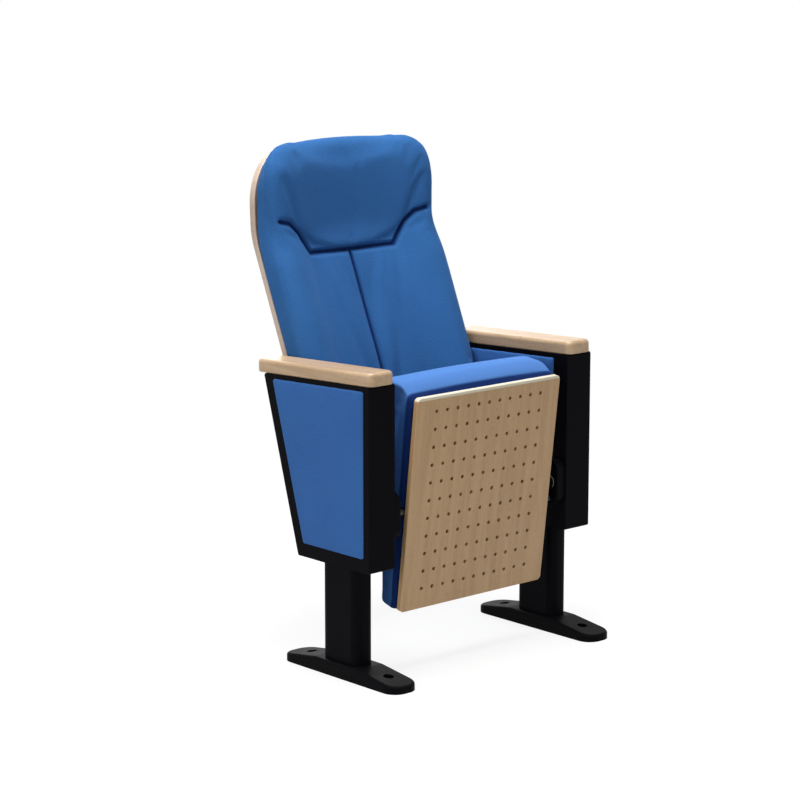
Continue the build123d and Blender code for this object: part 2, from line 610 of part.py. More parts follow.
def seat_frame():
    """A hoop of square tube with a middle tube whose ends are solid round the pins."""
    frame = Pos(0, 0, above(BOARD_THICKNESS)) * extrude(seat_frame_plan(0), RAIL)
    hollow = seat_frame_plan(RAIL_WALL)
    for x in (-RAIL_X, RAIL_X):
        hollow -= Pos(x, 0) * Rectangle(2 * PIN_BOSS_LENGTH, RAIL)
    frame -= Pos(0, 0, above(BOARD_THICKNESS + RAIL_WALL)) * extrude(hollow, RAIL - 2 * RAIL_WALL)
    for x in (-RAIL_X, RAIL_X - PIN_BOSS_LENGTH):
        frame -= rod_x(PIN_DIAMETER, x, x + PIN_BOSS_LENGTH, 0, 0)
    for x, place in board_screw_places():
        frame -= rod_z(BOARD_SCREW_DIAMETER, x, along(place), above(BOARD_THICKNESS), above(SEAT_FRAME_TOP))
    return tipped(frame)


def seat_straps():
    strap = Box(2 * (RAIL_X - RAIL_WALL), STRAP_WIDTH, STRAP_THICKNESS, align=BASE)
    return group([tipped(Pos(0, along(place), above(SEAT_FRAME_TOP)) * strap) for place in STRAP_PLACES])


def board_screws():
    tip = above(BOARD_THICKNESS - BOARD_SCREW_GRIP)
    head = above(SEAT_FRAME_TOP)
    top = head + BOARD_SCREW_HEAD_HEIGHT
    screws = []
    for x, place in board_screw_places():
        shank = rod_z(BOARD_SCREW_DIAMETER, x, along(place), tip, head)
        screws.append(tipped(shank + rod_z(BOARD_SCREW_HEAD_DIAMETER, x, along(place), head, top)))
    return group(screws)


def cushion_station(share):
    """Lengthways section of the seat cushion at a share of its half width."""
    crown = 1 - share * share
    rear = along(-CUSHION_REAR_OVERHANG)
    front = along(BOARD_LENGTH + CUSHION_FRONT_OVERHANG + CUSHION_FRONT_BULGE * crown)
    rear_top = above(CUSHION_REAR_HEIGHT + CUSHION_REAR_CROWN * crown)
    front_top = above(CUSHION_FRONT_HEIGHT + CUSHION_FRONT_CROWN * crown)
    base = above(BOARD_THICKNESS)
    over = FilletPolyline(
        (rear, base),
        (rear, rear_top),
        (front, front_top),
        (along(BOARD_LENGTH), base),
        radius=(CUSHION_REAR_RADIUS, CUSHION_FRONT_RADIUS),
    )
    under = Line((along(BOARD_LENGTH), base), (rear, base))
    return Plane.YZ.offset(share * CUSHION_X) * make_face(over + under)


def seat_cushion():
    cushion = loft([cushion_station(share) for share in CUSHION_STATIONS])
    rear = along(-2 * CUSHION_REAR_OVERHANG)
    front = along(BOARD_LENGTH + 4 * CUSHION_FRONT_OVERHANG)
    middle = (rear + front) / 2
    waist = CUSHION_X - CUSHION_DRAWN_IN
    plan = make_face(
        ThreePointArc((CUSHION_X, rear), (waist, middle), (CUSHION_X, front))
        + Line((CUSHION_X, front), (-CUSHION_X, front))
        + ThreePointArc((-CUSHION_X, front), (-waist, middle), (-CUSHION_X, rear))
        + Line((-CUSHION_X, rear), (CUSHION_X, rear))
    )
    cushion &= Pos(0, 0, above(0)) * extrude(plan, FAR)
    sides = rim(cushion, INWARD) + rim(cushion, OUTWARD)
    cushion = fillet([edge for edge in sides if edge.center().Z > above(RAIL)], CUSHION_SIDE_RADIUS)
    pocket_width = 2 * (RAIL_X + FOAM_CLEARANCE)
    pocket_length = SEAT_FRAME_LENGTH + 2 * FOAM_CLEARANCE
    pocket_height = RAIL + BOARD_SCREW_HEAD_HEIGHT + FOAM_CLEARANCE
    pocket = Box(pocket_width, pocket_length, pocket_height, align=BASE)
    cushion -= Pos(0, along(SEAT_FRAME_MIDDLE), above(BOARD_THICKNESS)) * pocket
    for x in (-CUSHION_X, RAIL_X):
        cushion -= rod_x(PIN_DIAMETER + 2 * PIN_HOLE_CLEARANCE, x, x + CUSHION_X - RAIL_X, 0, 0)
    return tipped(cushion)


def hinge_pin():
    inner_end = RAIL_X - PIN_BOSS_LENGTH
    outer_end = DOUBLER_X + SEAT_CLEARANCE + RETAINER_THICKNESS + PIN_TAIL
    return rod_x(PIN_DIAMETER, inner_end, outer_end, PIVOT_Y, PIVOT_Z)


def pin_retainer():
    start = DOUBLER_X + SEAT_CLEARANCE
    ring = rod_x(RETAINER_DIAMETER, start, start + RETAINER_THICKNESS, PIVOT_Y, PIVOT_Z)
    return ring - rod_x(PIN_DIAMETER, start, start + RETAINER_THICKNESS, PIVOT_Y, PIVOT_Z)


def stop_lever():
    outline = Circle(LEVER_HUB_DIAMETER / 2)
    arm = LEVER_REACH - LEVER_WIDTH / 2
    outline += Pos(arm / 2, 0) * Rectangle(arm, LEVER_WIDTH)
    outline += Pos(arm, 0) * Circle(LEVER_WIDTH / 2)
    outline -= Circle(PIN_DIAMETER / 2)
    rest_angle = STOP_MIDDLE_ANGLE - SEAT_TRAVEL / 2
    return prism_x(at_pivot(outline, rest_angle), LEVER_X - LEVER_THICKNESS, LEVER_X)


# ---- Back ------------------------------------------------------------------
def rise(start, height, lean):
    return start[0] + height * tan(radians(lean)), start[1] + height


BACK_START = rise((BACK_BOTTOM_Y, BACK_BOTTOM_Z), -SPARE, LUMBAR_LEAN)
BACK_LUMBAR = rise(BACK_START, SPARE + LUMBAR_RISE, LUMBAR_LEAN)
BACK_HEADREST = rise(BACK_LUMBAR, STRAIGHT_RISE, STRAIGHT_LEAN)
BACK_END = rise(BACK_HEADREST, HEADREST_RISE + SPARE, HEADREST_LEAN)
BACK_PROFILE = FilletPolyline(
    *[(0, y, z) for y, z in (BACK_START, BACK_LUMBAR, BACK_HEADREST, BACK_END)],
    radius=(LUMBAR_BEND, HEADREST_BEND),
)


def arc_radius(half_width, hollow):
    return (half_width * half_width + hollow * hollow) / (2 * hollow)


SHELL_ARC = arc_radius(SHELL_X, SHELL_HOLLOW)
CUSHION_ARC = arc_radius(BACK_CUSHION_X, BACK_CUSHION_HOLLOW)


def plan_arc(half_width, offset, radius):
    """Arc across the back, its middle behind the profile by the offset, its ends forward of it."""
    middle_y = BACK_START[0] + offset
    end_y = middle_y - radius + sqrt(radius * radius - half_width * half_width)
    return ThreePointArc((-half_width, end_y), (0, middle_y), (half_width, end_y))


def between(near, far):
    return make_face(near + far + Line(near @ 0, far @ 0) + Line(near @ 1, far @ 1))


def up_the_back(section):
    """Solid left by a plan section carried up the profile without turning."""
    return sweep(Pos(0, 0, BACK_START[1]) * section, BACK_PROFILE, normal=(0, 0, 1))


def back_layer(half_width, front_offset, front_arc, rear_offset, rear_arc):
    """Solid between two arcs, a little wider and longer than the back."""
    front = plan_arc(half_width + SPARE, front_offset, front_arc)
    rear = plan_arc(half_width + SPARE, rear_offset, rear_arc)
    return up_the_back(between(front, rear))


def back_outline(lip, top_drop):
    """Front view of the back, its edge moved in by the lip and its top down, as a solid to cut with."""
    half = SHELL_X - lip
    bottom = BACK_BOTTOM_Z + lip
    top = BACK_TOP_Z - top_drop
    shoulder = top - SHELL_TOP_ARCH
    arch = ThreePointArc((-half, shoulder), (0, top), (half, shoulder))
    outline = make_face(arch + Polyline((half, shoulder), (half, bottom), (-half, bottom), (-half, shoulder)))
    upper = outline.vertices().group_by(Axis.Y)[-1]
    outline = fillet(upper, SHELL_TOP_CORNER - lip)
    lower = outline.vertices().group_by(Axis.Y)[0]
    outline = fillet(lower, SHELL_BOTTOM_CORNER - lip)
    return extrude(Plane.XZ.offset(-FAR) * outline, FAR + STANDARD_TOP_DEPTH)


def shell_bolt_planes():
    """Planes on the liner's front face at the bolts, their Z axes pointing to the rear."""
    x = INNER_X - SHELL_BOLT_INSET
    forward = sqrt(SHELL_ARC * SHELL_ARC - x * x) - SHELL_ARC
    across = Vector(1, -x / (SHELL_ARC + forward), 0)
    planes = []
    for z in BRACKET_BOLT_ZS:
        at_height = Edge.make_line((0, -FAR, z), (0, FAR, z))
        crossing = BACK_PROFILE.intersect(at_height).vertices()[0]
        upward = BACK_PROFILE.tangent_at(BACK_PROFILE.param_at_point(crossing))
        origin = (x, crossing.Y + BACK_CUSHION_DEPTH + forward, z)
        planes.append(Plane(origin=origin, z_dir=upward.cross(across)))
    return planes


def bore(diameter, depth_from, depth_to):
    """A rod along a bolt, measured from the liner's front face."""
    return Pos(0, 0, depth_from) * Cylinder(diameter / 2, depth_to - depth_from, align=BASE)


def drilled(layer):
    """The layer with the holes for the bolts, and the recesses for their nuts if it has its front."""
    for plane in shell_bolt_planes():
        hole = bore(BOLT_DIAMETER + HOLE_CLEARANCE, -SHELL_DEPTH, 2 * SHELL_REAR)
        hole += bore(TEE_NUT_DIAMETER + HOLE_CLEARANCE, -SHELL_DEPTH, TEE_NUT_FLANGE + SEAT_CLEARANCE)
        layer -= plane * hole
        layer -= other_side(plane * hole)
    return layer


def back_shell():
    shell = back_layer(SHELL_X, SHELL_FRONT, SHELL_ARC, SHELL_REAR, SHELL_ARC)
    shell &= back_outline(0, SHELL_TOP_DROP)
    return drilled(fillet(rim(shell, FRONT) + rim(shell, REAR), SHELL_EDGE_RADIUS))


def back_liner():
    liner = back_layer(SHELL_X, BACK_CUSHION_DEPTH, SHELL_ARC, SHELL_FRONT, SHELL_ARC)
    return drilled(liner & back_outline(LINER_SETBACK, SHELL_TOP_DROP + LINER_SETBACK))


def back_cushion():
    rear = BACK_CUSHION_DEPTH - FOAM_CLEARANCE
    cushion = back_layer(BACK_CUSHION_X, 0, CUSHION_ARC, rear, SHELL_ARC)
    cushion &= back_outline(BACK_CUSHION_LIP, 0)
    cushion = fillet(rim(cushion, FRONT), BACK_CUSHION_RADIUS)
    seams = Pos(0, -FAR / 2) * Rectangle(GROOVE_WIDTH, FAR)
    for (x1, z1), (x2, z2) in zip(GROOVE_CORNERS, GROOVE_CORNERS[1:]):
        angle = degrees(atan2(z2 - z1, x2 - x1))
        slot = SlotCenterToCenter(hypot(x2 - x1, z2 - z1), GROOVE_WIDTH, rotation=angle)
        slot = Pos((x1 + x2) / 2, (z1 + z2) / 2) * slot
        seams += slot + slot.mirror(Plane.YZ)
    skin = back_layer(BACK_CUSHION_X, -GROOVE_DEPTH, CUSHION_ARC, GROOVE_DEPTH, CUSHION_ARC)
    grooves = extrude(Plane.XZ.offset(-FAR) * Pos(0, HEADREST_Z) * seams, 2 * FAR)
    return cushion - (skin & grooves)


# ---- Back brackets ---------------------------------------------------------
def back_bracket():
    """A plate on the side standard, bent round behind the shell to follow its rear face."""
    inside = SHELL_REAR + SEAT_CLEARANCE
    outside = inside + BRACKET_THICKNESS
    near = plan_arc(INNER_X, inside, SHELL_ARC)
    far = plan_arc(INNER_X, outside, SHELL_ARC)
    section = between(near, far)
    section &= Pos(BRACKET_X - BRACKET_FLANGE, 0) * Rectangle(FAR, FAR, align=(Align.MIN, Align.CENTER))
    corner = far @ 1
    plate = Rectangle(BRACKET_THICKNESS, FAR, align=Align.MAX)
    section += Pos(corner.X, corner.Y) * plate
    section = fillet(section.vertices().sort_by_distance(corner)[0], BRACKET_THICKNESS)
    bracket = up_the_back(section)
    low = BRACKET_Z - BRACKET_HEIGHT / 2
    high = BRACKET_Z + BRACKET_HEIGHT / 2
    corners = [(rear_y(low, BRACKET_LAP), low), (FAR, low), (FAR, high), (rear_y(high, BRACKET_LAP), high)]
    bracket &= prism_x(Polygon(*corners, align=None), 0, OUTER_X)
    head_room = BRACKET_X - BOLT_HEAD_HEIGHT - HOLE_CLEARANCE
    for z in BRACKET_BOLT_ZS:
        y = rear_y(z, BRACKET_BOLT_INSET)
        bracket -= rod_x(BOLT_DIAMETER + HOLE_CLEARANCE, BRACKET_X, INNER_X, y, z)
        bracket -= rod_x(BOLT_HEAD_DIAMETER + HOLE_CLEARANCE, head_room, BRACKET_X, y, z)
    for plane in shell_bolt_planes():
        bracket -= plane * bore(BOLT_DIAMETER + HOLE_CLEARANCE, 0, 2 * SHELL_REAR)
    return bracket


def bracket_bolts():
    bolts = []
    tip = INNER_X + SHEET + WELD_NUT_HEIGHT
    for z in BRACKET_BOLT_ZS:
        y = rear_y(z, BRACKET_BOLT_INSET)
        shank = rod_x(BOLT_DIAMETER, BRACKET_X, tip, y, z)
        bolts.append(shank + rod_x(BOLT_HEAD_DIAMETER, BRACKET_X - BOLT_HEAD_HEIGHT, BRACKET_X, y, z))
    return both_sides(bolts)


def weld_nuts():
    nuts = []
    start = INNER_X + SHEET
    for z in BRACKET_BOLT_ZS:
        y = rear_y(z, BRACKET_BOLT_INSET)
        nut = rod_x(WELD_NUT_DIAMETER, start, start + WELD_NUT_HEIGHT, y, z)
        nuts.append(nut - rod_x(BOLT_DIAMETER, start, start + WELD_NUT_HEIGHT, y, z))
    return both_sides(nuts)


def shell_bolts():
    bolts = []
    for plane in shell_bolt_planes():
        stack = LINER_DEPTH + SHELL_DEPTH + SEAT_CLEARANCE + BRACKET_THICKNESS
        head = stack * plane.z_dir.Y + SEAT_CLEARANCE
        bolt = bore(BOLT_DIAMETER, SEAT_CLEARANCE, head)
        bolt += bore(BOLT_HEAD_DIAMETER, head, head + BOLT_HEAD_HEIGHT)
        bolts.append(plane * bolt)
    return both_sides(bolts)


def tee_nuts():
    nuts = []
    for plane in shell_bolt_planes():
        nut = bore(TEE_NUT_DIAMETER, SEAT_CLEARANCE, SEAT_CLEARANCE + TEE_NUT_FLANGE)
        nuts.append(plane * (nut - bore(BOLT_DIAMETER, 0, LINER_DEPTH)))
    return both_sides(nuts)


# ---- Parts -----------------------------------------------------------------
# Each of these comes twice, the sitter's left one as drawn and the right one mirrored.
PAIRS = {
    "foot": foot,
    "column": column,
    "side_standard": side_standard,
    "outer_pad": outer_pad,
    "inner_pad": inner_pad,
    "outer_panel_board": outer_panel_board,
    "inner_panel_board": inner_panel_board,
    "armrest": armrest,
    "hinge_doubler": hinge_doubler,
    "hinge_housing": hinge_housing,
    "hinge_bush": hinge_bush,
    "return_spring": return_spring,
    "stop_buffers": stop_buffers,
    "back_bracket": back_bracket,
    "hinge_pin": hinge_pin,
    "pin_retainer": pin_retainer,
    "stop_lever": stop_lever,
}
SINGLES = {
    "panel_clips": panel_clips,
    "armrest_screws": armrest_screws,
    "hinge_screws": hinge_screws,
    "bracket_bolts": bracket_bolts,
    "weld_nuts": weld_nuts,
    "shell_bolts": shell_bolts,
    "tee_nuts": tee_nuts,
    "back_shell": back_shell,
    "back_liner": back_liner,
    "back_cushion": back_cushion,
    "seat_board": seat_board,
    "seat_frame": seat_frame,
    "seat_straps": seat_straps,
    "board_screws": board_screws,
    "seat_cushion": seat_cushion,
}


def write_parts():
    os.makedirs("parts", exist_ok=True)
    for node, make in PAIRS.items():
        piece = make()
        export_step(piece, f"parts/{node}_left.step")
        export_step(other_side(piece), f"parts/{node}_right.step")
    for node, make in SINGLES.items():
        export_step(make(), f"parts/{node}.step")


if __name__ == "__main__":
    write_parts()
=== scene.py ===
# %% [markdown]
# # A tip-up auditorium seat
# The real object is one chair of a theatre row. Two black steel side standards stand on
# columns and cast feet, and between them hang a high padded back and a seat that springs
# up when nobody sits on it. The steel, the wood and the hinges come from the CAD frame.
# Here they get their finishes, and the soft parts are made anew as stuffed cloth.
# Everything is in metres: +X is the sitter's left, -Y is the front and +Z is up.

import json
import math

import bpy
import numpy as np
from mathutils import Matrix, Vector, kdtree


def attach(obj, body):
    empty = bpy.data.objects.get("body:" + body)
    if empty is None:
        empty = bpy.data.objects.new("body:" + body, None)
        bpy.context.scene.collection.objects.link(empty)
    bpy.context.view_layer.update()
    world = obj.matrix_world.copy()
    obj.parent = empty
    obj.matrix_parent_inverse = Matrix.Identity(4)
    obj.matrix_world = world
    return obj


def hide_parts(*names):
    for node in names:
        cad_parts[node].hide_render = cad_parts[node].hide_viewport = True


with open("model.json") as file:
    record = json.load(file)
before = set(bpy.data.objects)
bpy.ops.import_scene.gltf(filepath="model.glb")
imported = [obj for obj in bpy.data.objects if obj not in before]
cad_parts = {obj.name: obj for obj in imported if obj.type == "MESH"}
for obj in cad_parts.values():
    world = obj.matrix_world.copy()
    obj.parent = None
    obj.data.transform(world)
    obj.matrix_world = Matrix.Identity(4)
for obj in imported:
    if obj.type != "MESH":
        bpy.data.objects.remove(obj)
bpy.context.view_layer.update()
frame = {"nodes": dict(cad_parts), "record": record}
MM = 0.001
print("CAD nodes:", len(frame["nodes"]))

# %% [markdown]
# ## The camera first
# Setting the camera before anything else lets every later look be judged from the same
# place. A long lens far away keeps the chair's sides almost parallel, as in a product
# photograph. The camera could be aimed with a Track To constraint, but plain angles are
# easier to read back and to correct by a degree.

# %% Camera
CAMERA_PLACE = (-3.6687, -3.9179, 1.5797)
CAMERA_PITCH = 11.0  # degrees below level
CAMERA_YAW = -42.0
LENS = 118.07
VIEW_END = 60.0

bpy.ops.object.camera_add(
    location=CAMERA_PLACE,
    rotation=(math.radians(90 - CAMERA_PITCH), 0, math.radians(CAMERA_YAW)),
)
camera = bpy.context.object
camera.name = "studio_camera"
camera.data.lens = LENS
camera.data.clip_end = VIEW_END
bpy.context.scene.camera = camera
print("camera at", tuple(round(v, 2) for v in camera.location))

# %% [markdown]
# ## Small helpers
# bpy.ops works on whatever is selected, so each step starts by deselecting everything.
# The node helpers only save typing: one adds a node with its values, one adds maths.


# %% Helpers for objects
def only(piece):
    """Select one object and make it the active one."""
    bpy.ops.object.select_all(action="DESELECT")
    piece.select_set(True)
    bpy.context.view_layer.objects.active = piece


def add_modifier(piece, kind, **settings):
    only(piece)
    modifier = piece.modifiers.new(kind.title(), kind)
    for key, value in settings.items():
        setattr(modifier, key, value)
    return modifier


def apply_modifier(piece, kind, **settings):
    modifier = add_modifier(piece, kind, **settings)
    bpy.ops.object.modifier_apply(modifier=modifier.name)


def vectors_of(piece, label):
    """A vector of each vertex in one array, which is quicker to work on than one at a time."""
    flat = np.empty(len(piece.data.vertices) * 3)
    piece.data.vertices.foreach_get(label, flat)
    return flat.reshape(-1, 3)


def points_of(piece):
    return vectors_of(piece, "co")


def outward_of(piece):
    return vectors_of(piece, "normal")


def move_points(piece, points):
    piece.data.vertices.foreach_set("co", points.ravel())
    piece.data.update()


# %% Helpers for materials
MIX_COLOURS = (6, 7)  # the Mix node's sockets for colours follow those for other kinds
MIX_RESULT = 2


def new_node(tree, kind, values=(), **settings):
    """Add a node, set its properties, then its input sockets by name or number."""
    node = tree.nodes.new(kind)
    for key, value in settings.items():
        setattr(node, key, value)
    for key, value in dict(values).items():
        node.inputs[key].default_value = value
    return node


def maths(tree, operation, first, second=0.0, third=0.0):
    """A Math node. Each of its inputs is a number or another node's output."""
    node = tree.nodes.new("ShaderNodeMath")
    node.operation = operation
    for socket, value in zip(node.inputs, (first, second, third)):
        if isinstance(value, (int, float)):
            socket.default_value = value
        else:
            tree.links.new(value, socket)
    return node.outputs[0]


def mixed(tree, share, first, second):
    """A colour Mix node. The share is an output, and each colour a tuple or an output."""
    node = new_node(tree, "ShaderNodeMix", data_type="RGBA")
    tree.links.new(share, node.inputs[0])
    for number, value in zip(MIX_COLOURS, (first, second)):
        if isinstance(value, tuple):
            node.inputs[number].default_value = (*value, 1)
        else:
            tree.links.new(value, node.inputs[number])
    return node.outputs[MIX_RESULT]


def smooth_step(tree, value, low, high):
    """0 below one limit, 1 above the other, with an even change between them."""
    node = new_node(tree, "ShaderNodeMapRange", {1: low, 2: high}, interpolation_type="SMOOTHSTEP")
    tree.links.new(value, node.inputs[0])
    return node.outputs[0]


def new_group(name, inputs, outputs):
    """A shader node group with named inputs and outputs."""
    group = bpy.data.node_groups.new(name, "ShaderNodeTree")
    for label, kind, value in inputs:
        socket = group.interface.new_socket(label, in_out="INPUT", socket_type=kind)
        if value is not None:
            socket.default_value = value
    for label, kind in outputs:
        group.interface.new_socket(label, in_out="OUTPUT", socket_type=kind)
    start = group.nodes.new("NodeGroupInput")
    end = group.nodes.new("NodeGroupOutput")
    return group, start, end


def stretched(group, vector, scale):
    """A vector multiplied by a scale of its own for each axis."""
    node = new_node(group, "ShaderNodeVectorMath", operation="MULTIPLY")
    group.links.new(vector, node.inputs[0])
    node.inputs[1].default_value = scale
    return node.outputs[0]


def noise(group, vector, **values):
    """A Noise node's output. Each underscore in a value's name stands for a space."""
    named = {key.replace("_", " "): value for key, value in values.items()}
    node = new_node(group, "ShaderNodeTexNoise", named)
    group.links.new(vector, node.inputs["Vector"])
    return node.outputs[0]


def use_group(tree, group, values=(), **linked):
    node = tree.nodes.new("ShaderNodeGroup")
    node.node_tree = group
    for key, value in dict(values).items():
        node.inputs[key].default_value = value
    for key, output in linked.items():
        tree.links.new(output, node.inputs[key])
    return node


def new_material(name, roughness, constants=()):
    """A material with its Principled shader. Constants go on the shader's own sockets."""
    material = bpy.data.materials.new(name)
    material.use_nodes = True
    tree = material.node_tree
    shader = tree.nodes["Principled BSDF"]
    shader.inputs["Roughness"].default_value = roughness
    for key, value in dict(constants).items():
        shader.inputs[key].default_value = value
    return material, tree, shader


def object_points(tree):
    return tree.nodes.new("ShaderNodeTexCoord").outputs["Object"]


def bump(tree, shader, height, distance, strength):
    node = new_node(tree, "ShaderNodeBump", {"Strength": strength, "Distance": distance})
    tree.links.new(height, node.inputs["Height"])
    tree.links.new(node.outputs[0], shader.inputs["Normal"])


# %% [markdown]
# ## Woven cloth
# Auditorium cloth is a plain weave of thick wool-like yarn: each yarn goes over one and
# under the next. It could be an image, but two sine waves and their product give the
# same over-and-under at any size. The pattern follows the UV map, so it runs with the
# panel. Faint flecks and broad fading keep a big blue area from looking printed.


# %% Group: plain weave
THREADS_PER_METRE = 900.0
FLECK_SCALE = (900, 260, 900)  # a metre, so that a fleck is longer along its yarn
FADING_SCALE = 9.0


def make_weave_group():
    group, start, end = new_group(
        "Plain weave",
        [("Vector", "NodeSocketVector", None), ("Threads per metre", "NodeSocketFloat", THREADS_PER_METRE)],
        [("Height", "NodeSocketFloat"), ("Yarn tone", "NodeSocketFloat"), ("Fading", "NodeSocketFloat")],
    )
    vector = start.outputs["Vector"]
    apart = group.nodes.new("ShaderNodeSeparateXYZ")
    group.links.new(vector, apart.inputs[0])
    turns = maths(group, "MULTIPLY", start.outputs["Threads per metre"], math.pi)
    across = maths(group, "SINE", maths(group, "MULTIPLY", apart.outputs[0], turns))
    along = maths(group, "SINE", maths(group, "MULTIPLY", apart.outputs[1], turns))
    over = maths(group, "MULTIPLY", across, along)
    rise = maths(group, "MULTIPLY_ADD", over, 0.5, 0.5)
    yarns = maths(group, "MAXIMUM", maths(group, "ABSOLUTE", across), maths(group, "ABSOLUTE", along))
    group.links.new(maths(group, "MULTIPLY", rise, yarns), end.inputs["Height"])
    flecks = noise(group, stretched(group, vector, FLECK_SCALE), Scale=1.0, Detail=2.0)
    group.links.new(flecks, end.inputs["Yarn tone"])
    group.links.new(noise(group, vector, Scale=FADING_SCALE, Detail=3.0), end.inputs["Fading"])
    return group


weave_group = make_weave_group()
print("group:", weave_group.name)


# %% Material: blue cloth
CLOTH_ROUGHNESS = 0.86
CLOTH_SHEEN = {
    "Sheen Weight": 0.22,
    "Sheen Roughness": 0.4,
    "Sheen Tint": (0.25, 0.50, 1.0, 1),
    "Specular IOR Level": 0.12,
}
YARN_TONES = (0.35, 0.68)  # limits in the noise between the deep and the bright yarn
FADED_PATCHES = (0.3, 0.75)
FADED_COLOUR = (0.065, 0.235, 0.62)
FADED_SHARE = 0.16
HOLLOW_SHADE = 0.45  # painted shade between the yarns, a share of the deep yarn's colour
HOLLOW_SHARE = 0.30
PAINTED_HIGHLIGHT_COLOUR = (0.14, 0.33, 0.80)  # painted highlight on the seat's front edge, which faces up when the seat is tipped
PAINTED_HIGHLIGHT_SHARE = 0.5
SEAM_SHADE = (0.08, 0.15, 0.30)  # painted shade in seams and tucks, per channel of the deep yarn's colour
YARN_RELIEF = 0.5 * MM
YARN_BUMP = 0.55


def make_cloth(name, deep, bright):
    """Woven cloth. A piece's points may carry a painted highlight, and a painted shade in its seams and
    tucks.
    """
    material, tree, shader = new_material(name, CLOTH_ROUGHNESS, CLOTH_SHEEN)
    weave = use_group(tree, weave_group, Vector=tree.nodes.new("ShaderNodeUVMap").outputs[0])
    colour = mixed(tree, smooth_step(tree, weave.outputs["Yarn tone"], *YARN_TONES), deep, bright)
    faded = smooth_step(tree, weave.outputs["Fading"], *FADED_PATCHES)
    colour = mixed(tree, maths(tree, "MULTIPLY", faded, FADED_SHARE), colour, FADED_COLOUR)
    # Painted shade in the hollows between the yarns
    hollow = maths(tree, "SUBTRACT", 1.0, weave.outputs["Height"])
    between = tuple(HOLLOW_SHADE * c for c in deep)
    colour = mixed(tree, maths(tree, "MULTIPLY", hollow, HOLLOW_SHARE), colour, between)
    # A painted highlight, read from the points, lightens where a piece catches the most light
    painted_highlight = new_node(tree, "ShaderNodeAttribute", attribute_name="painted_highlight")
    paler = maths(tree, "MULTIPLY", painted_highlight.outputs["Fac"], PAINTED_HIGHLIGHT_SHARE)
    colour = mixed(tree, paler, colour, PAINTED_HIGHLIGHT_COLOUR)
    # Painted shade in the seams and along the seat's tuck, read from the points
    seam = new_node(tree, "ShaderNodeAttribute", attribute_name="seam")
    painted_seam_shade = tuple(share * c for share, c in zip(SEAM_SHADE, deep))
    colour = mixed(tree, seam.outputs["Fac"], colour, painted_seam_shade)
    tree.links.new(colour, shader.inputs["Base Color"])
    bump(tree, shader, weave.outputs["Height"], YARN_RELIEF, YARN_BUMP)
    return material


# The back and the seat are covered in the same cloth. The back's copy is darker and the seat's lighter, as
# painted shade and painted light.
back_cloth = make_cloth("blue woven cloth of the back", (0.026, 0.119, 0.338), (0.040, 0.158, 0.422))
seat_cloth = make_cloth("blue woven cloth of the seat", (0.036, 0.132, 0.400), (0.054, 0.175, 0.500))
print("materials:", back_cloth.name, "and", seat_cloth.name)

# %% [markdown]
# ## Wood
# The armrests are steamed beech, which shows long faint streaks and short dark flecks.
# The shell and the seat board are beech plywood. The boards behind the pads and the back
# cushion are near black, as painted shade where their edges show between cloth and frame.
# One node group makes the grain for all: noise squeezed across the fibres and stretched
# along them. A Wave texture would also do, but its rings are too even for beech.


# %% Group: wood grain
# Each layer's scale along X, Y and Z, its detail and its distortion. The fibres run along Y.
GRAIN_LAYERS = {
    "Streaks": ((55, 3.2, 55), 3.0, 0.8),
    "Flecks": ((620, 75, 620), 1.0, 0.2),
    "Fibres": ((1500, 28, 1500), 2.0, 0.0),
}


def make_grain_group():
    group, start, end = new_group(
        "Beech grain",
        [("Vector", "NodeSocketVector", None)],
        [(label, "NodeSocketFloat") for label in GRAIN_LAYERS],
    )
    for label, (scale, detail, distortion) in GRAIN_LAYERS.items():
        vector = stretched(group, start.outputs["Vector"], scale)
        layer = noise(group, vector, Scale=1.0, Detail=detail, Distortion=distortion)
        group.links.new(layer, end.inputs[label])
    return group


grain_group = make_grain_group()
print("group:", grain_group.name)


# %% Varnished wood
VARNISH_ROUGHNESS = 0.42
VARNISH = {"Coat Weight": 0.25, "Coat Roughness": 0.28}
STREAKS = (0.32, 0.68)  # limits in the noise
FLECKS = (0.62, 0.74)
FLECK_SHARE = 0.42
FLECK_SHADE = 0.45  # of the dark wood's colour
FIBRE_ROUGHNESS = (0.22, 0.30)  # the fibres' share, and the least
FIBRE_RELIEF = 0.2 * MM
FIBRE_BUMP = 0.35
# A painted highlight along the seat board's front edge
EDGE_HIGHLIGHT_COLOUR = (0.74, 0.68, 0.52)
EDGE_HIGHLIGHT_BLUR = 0.8 * MM


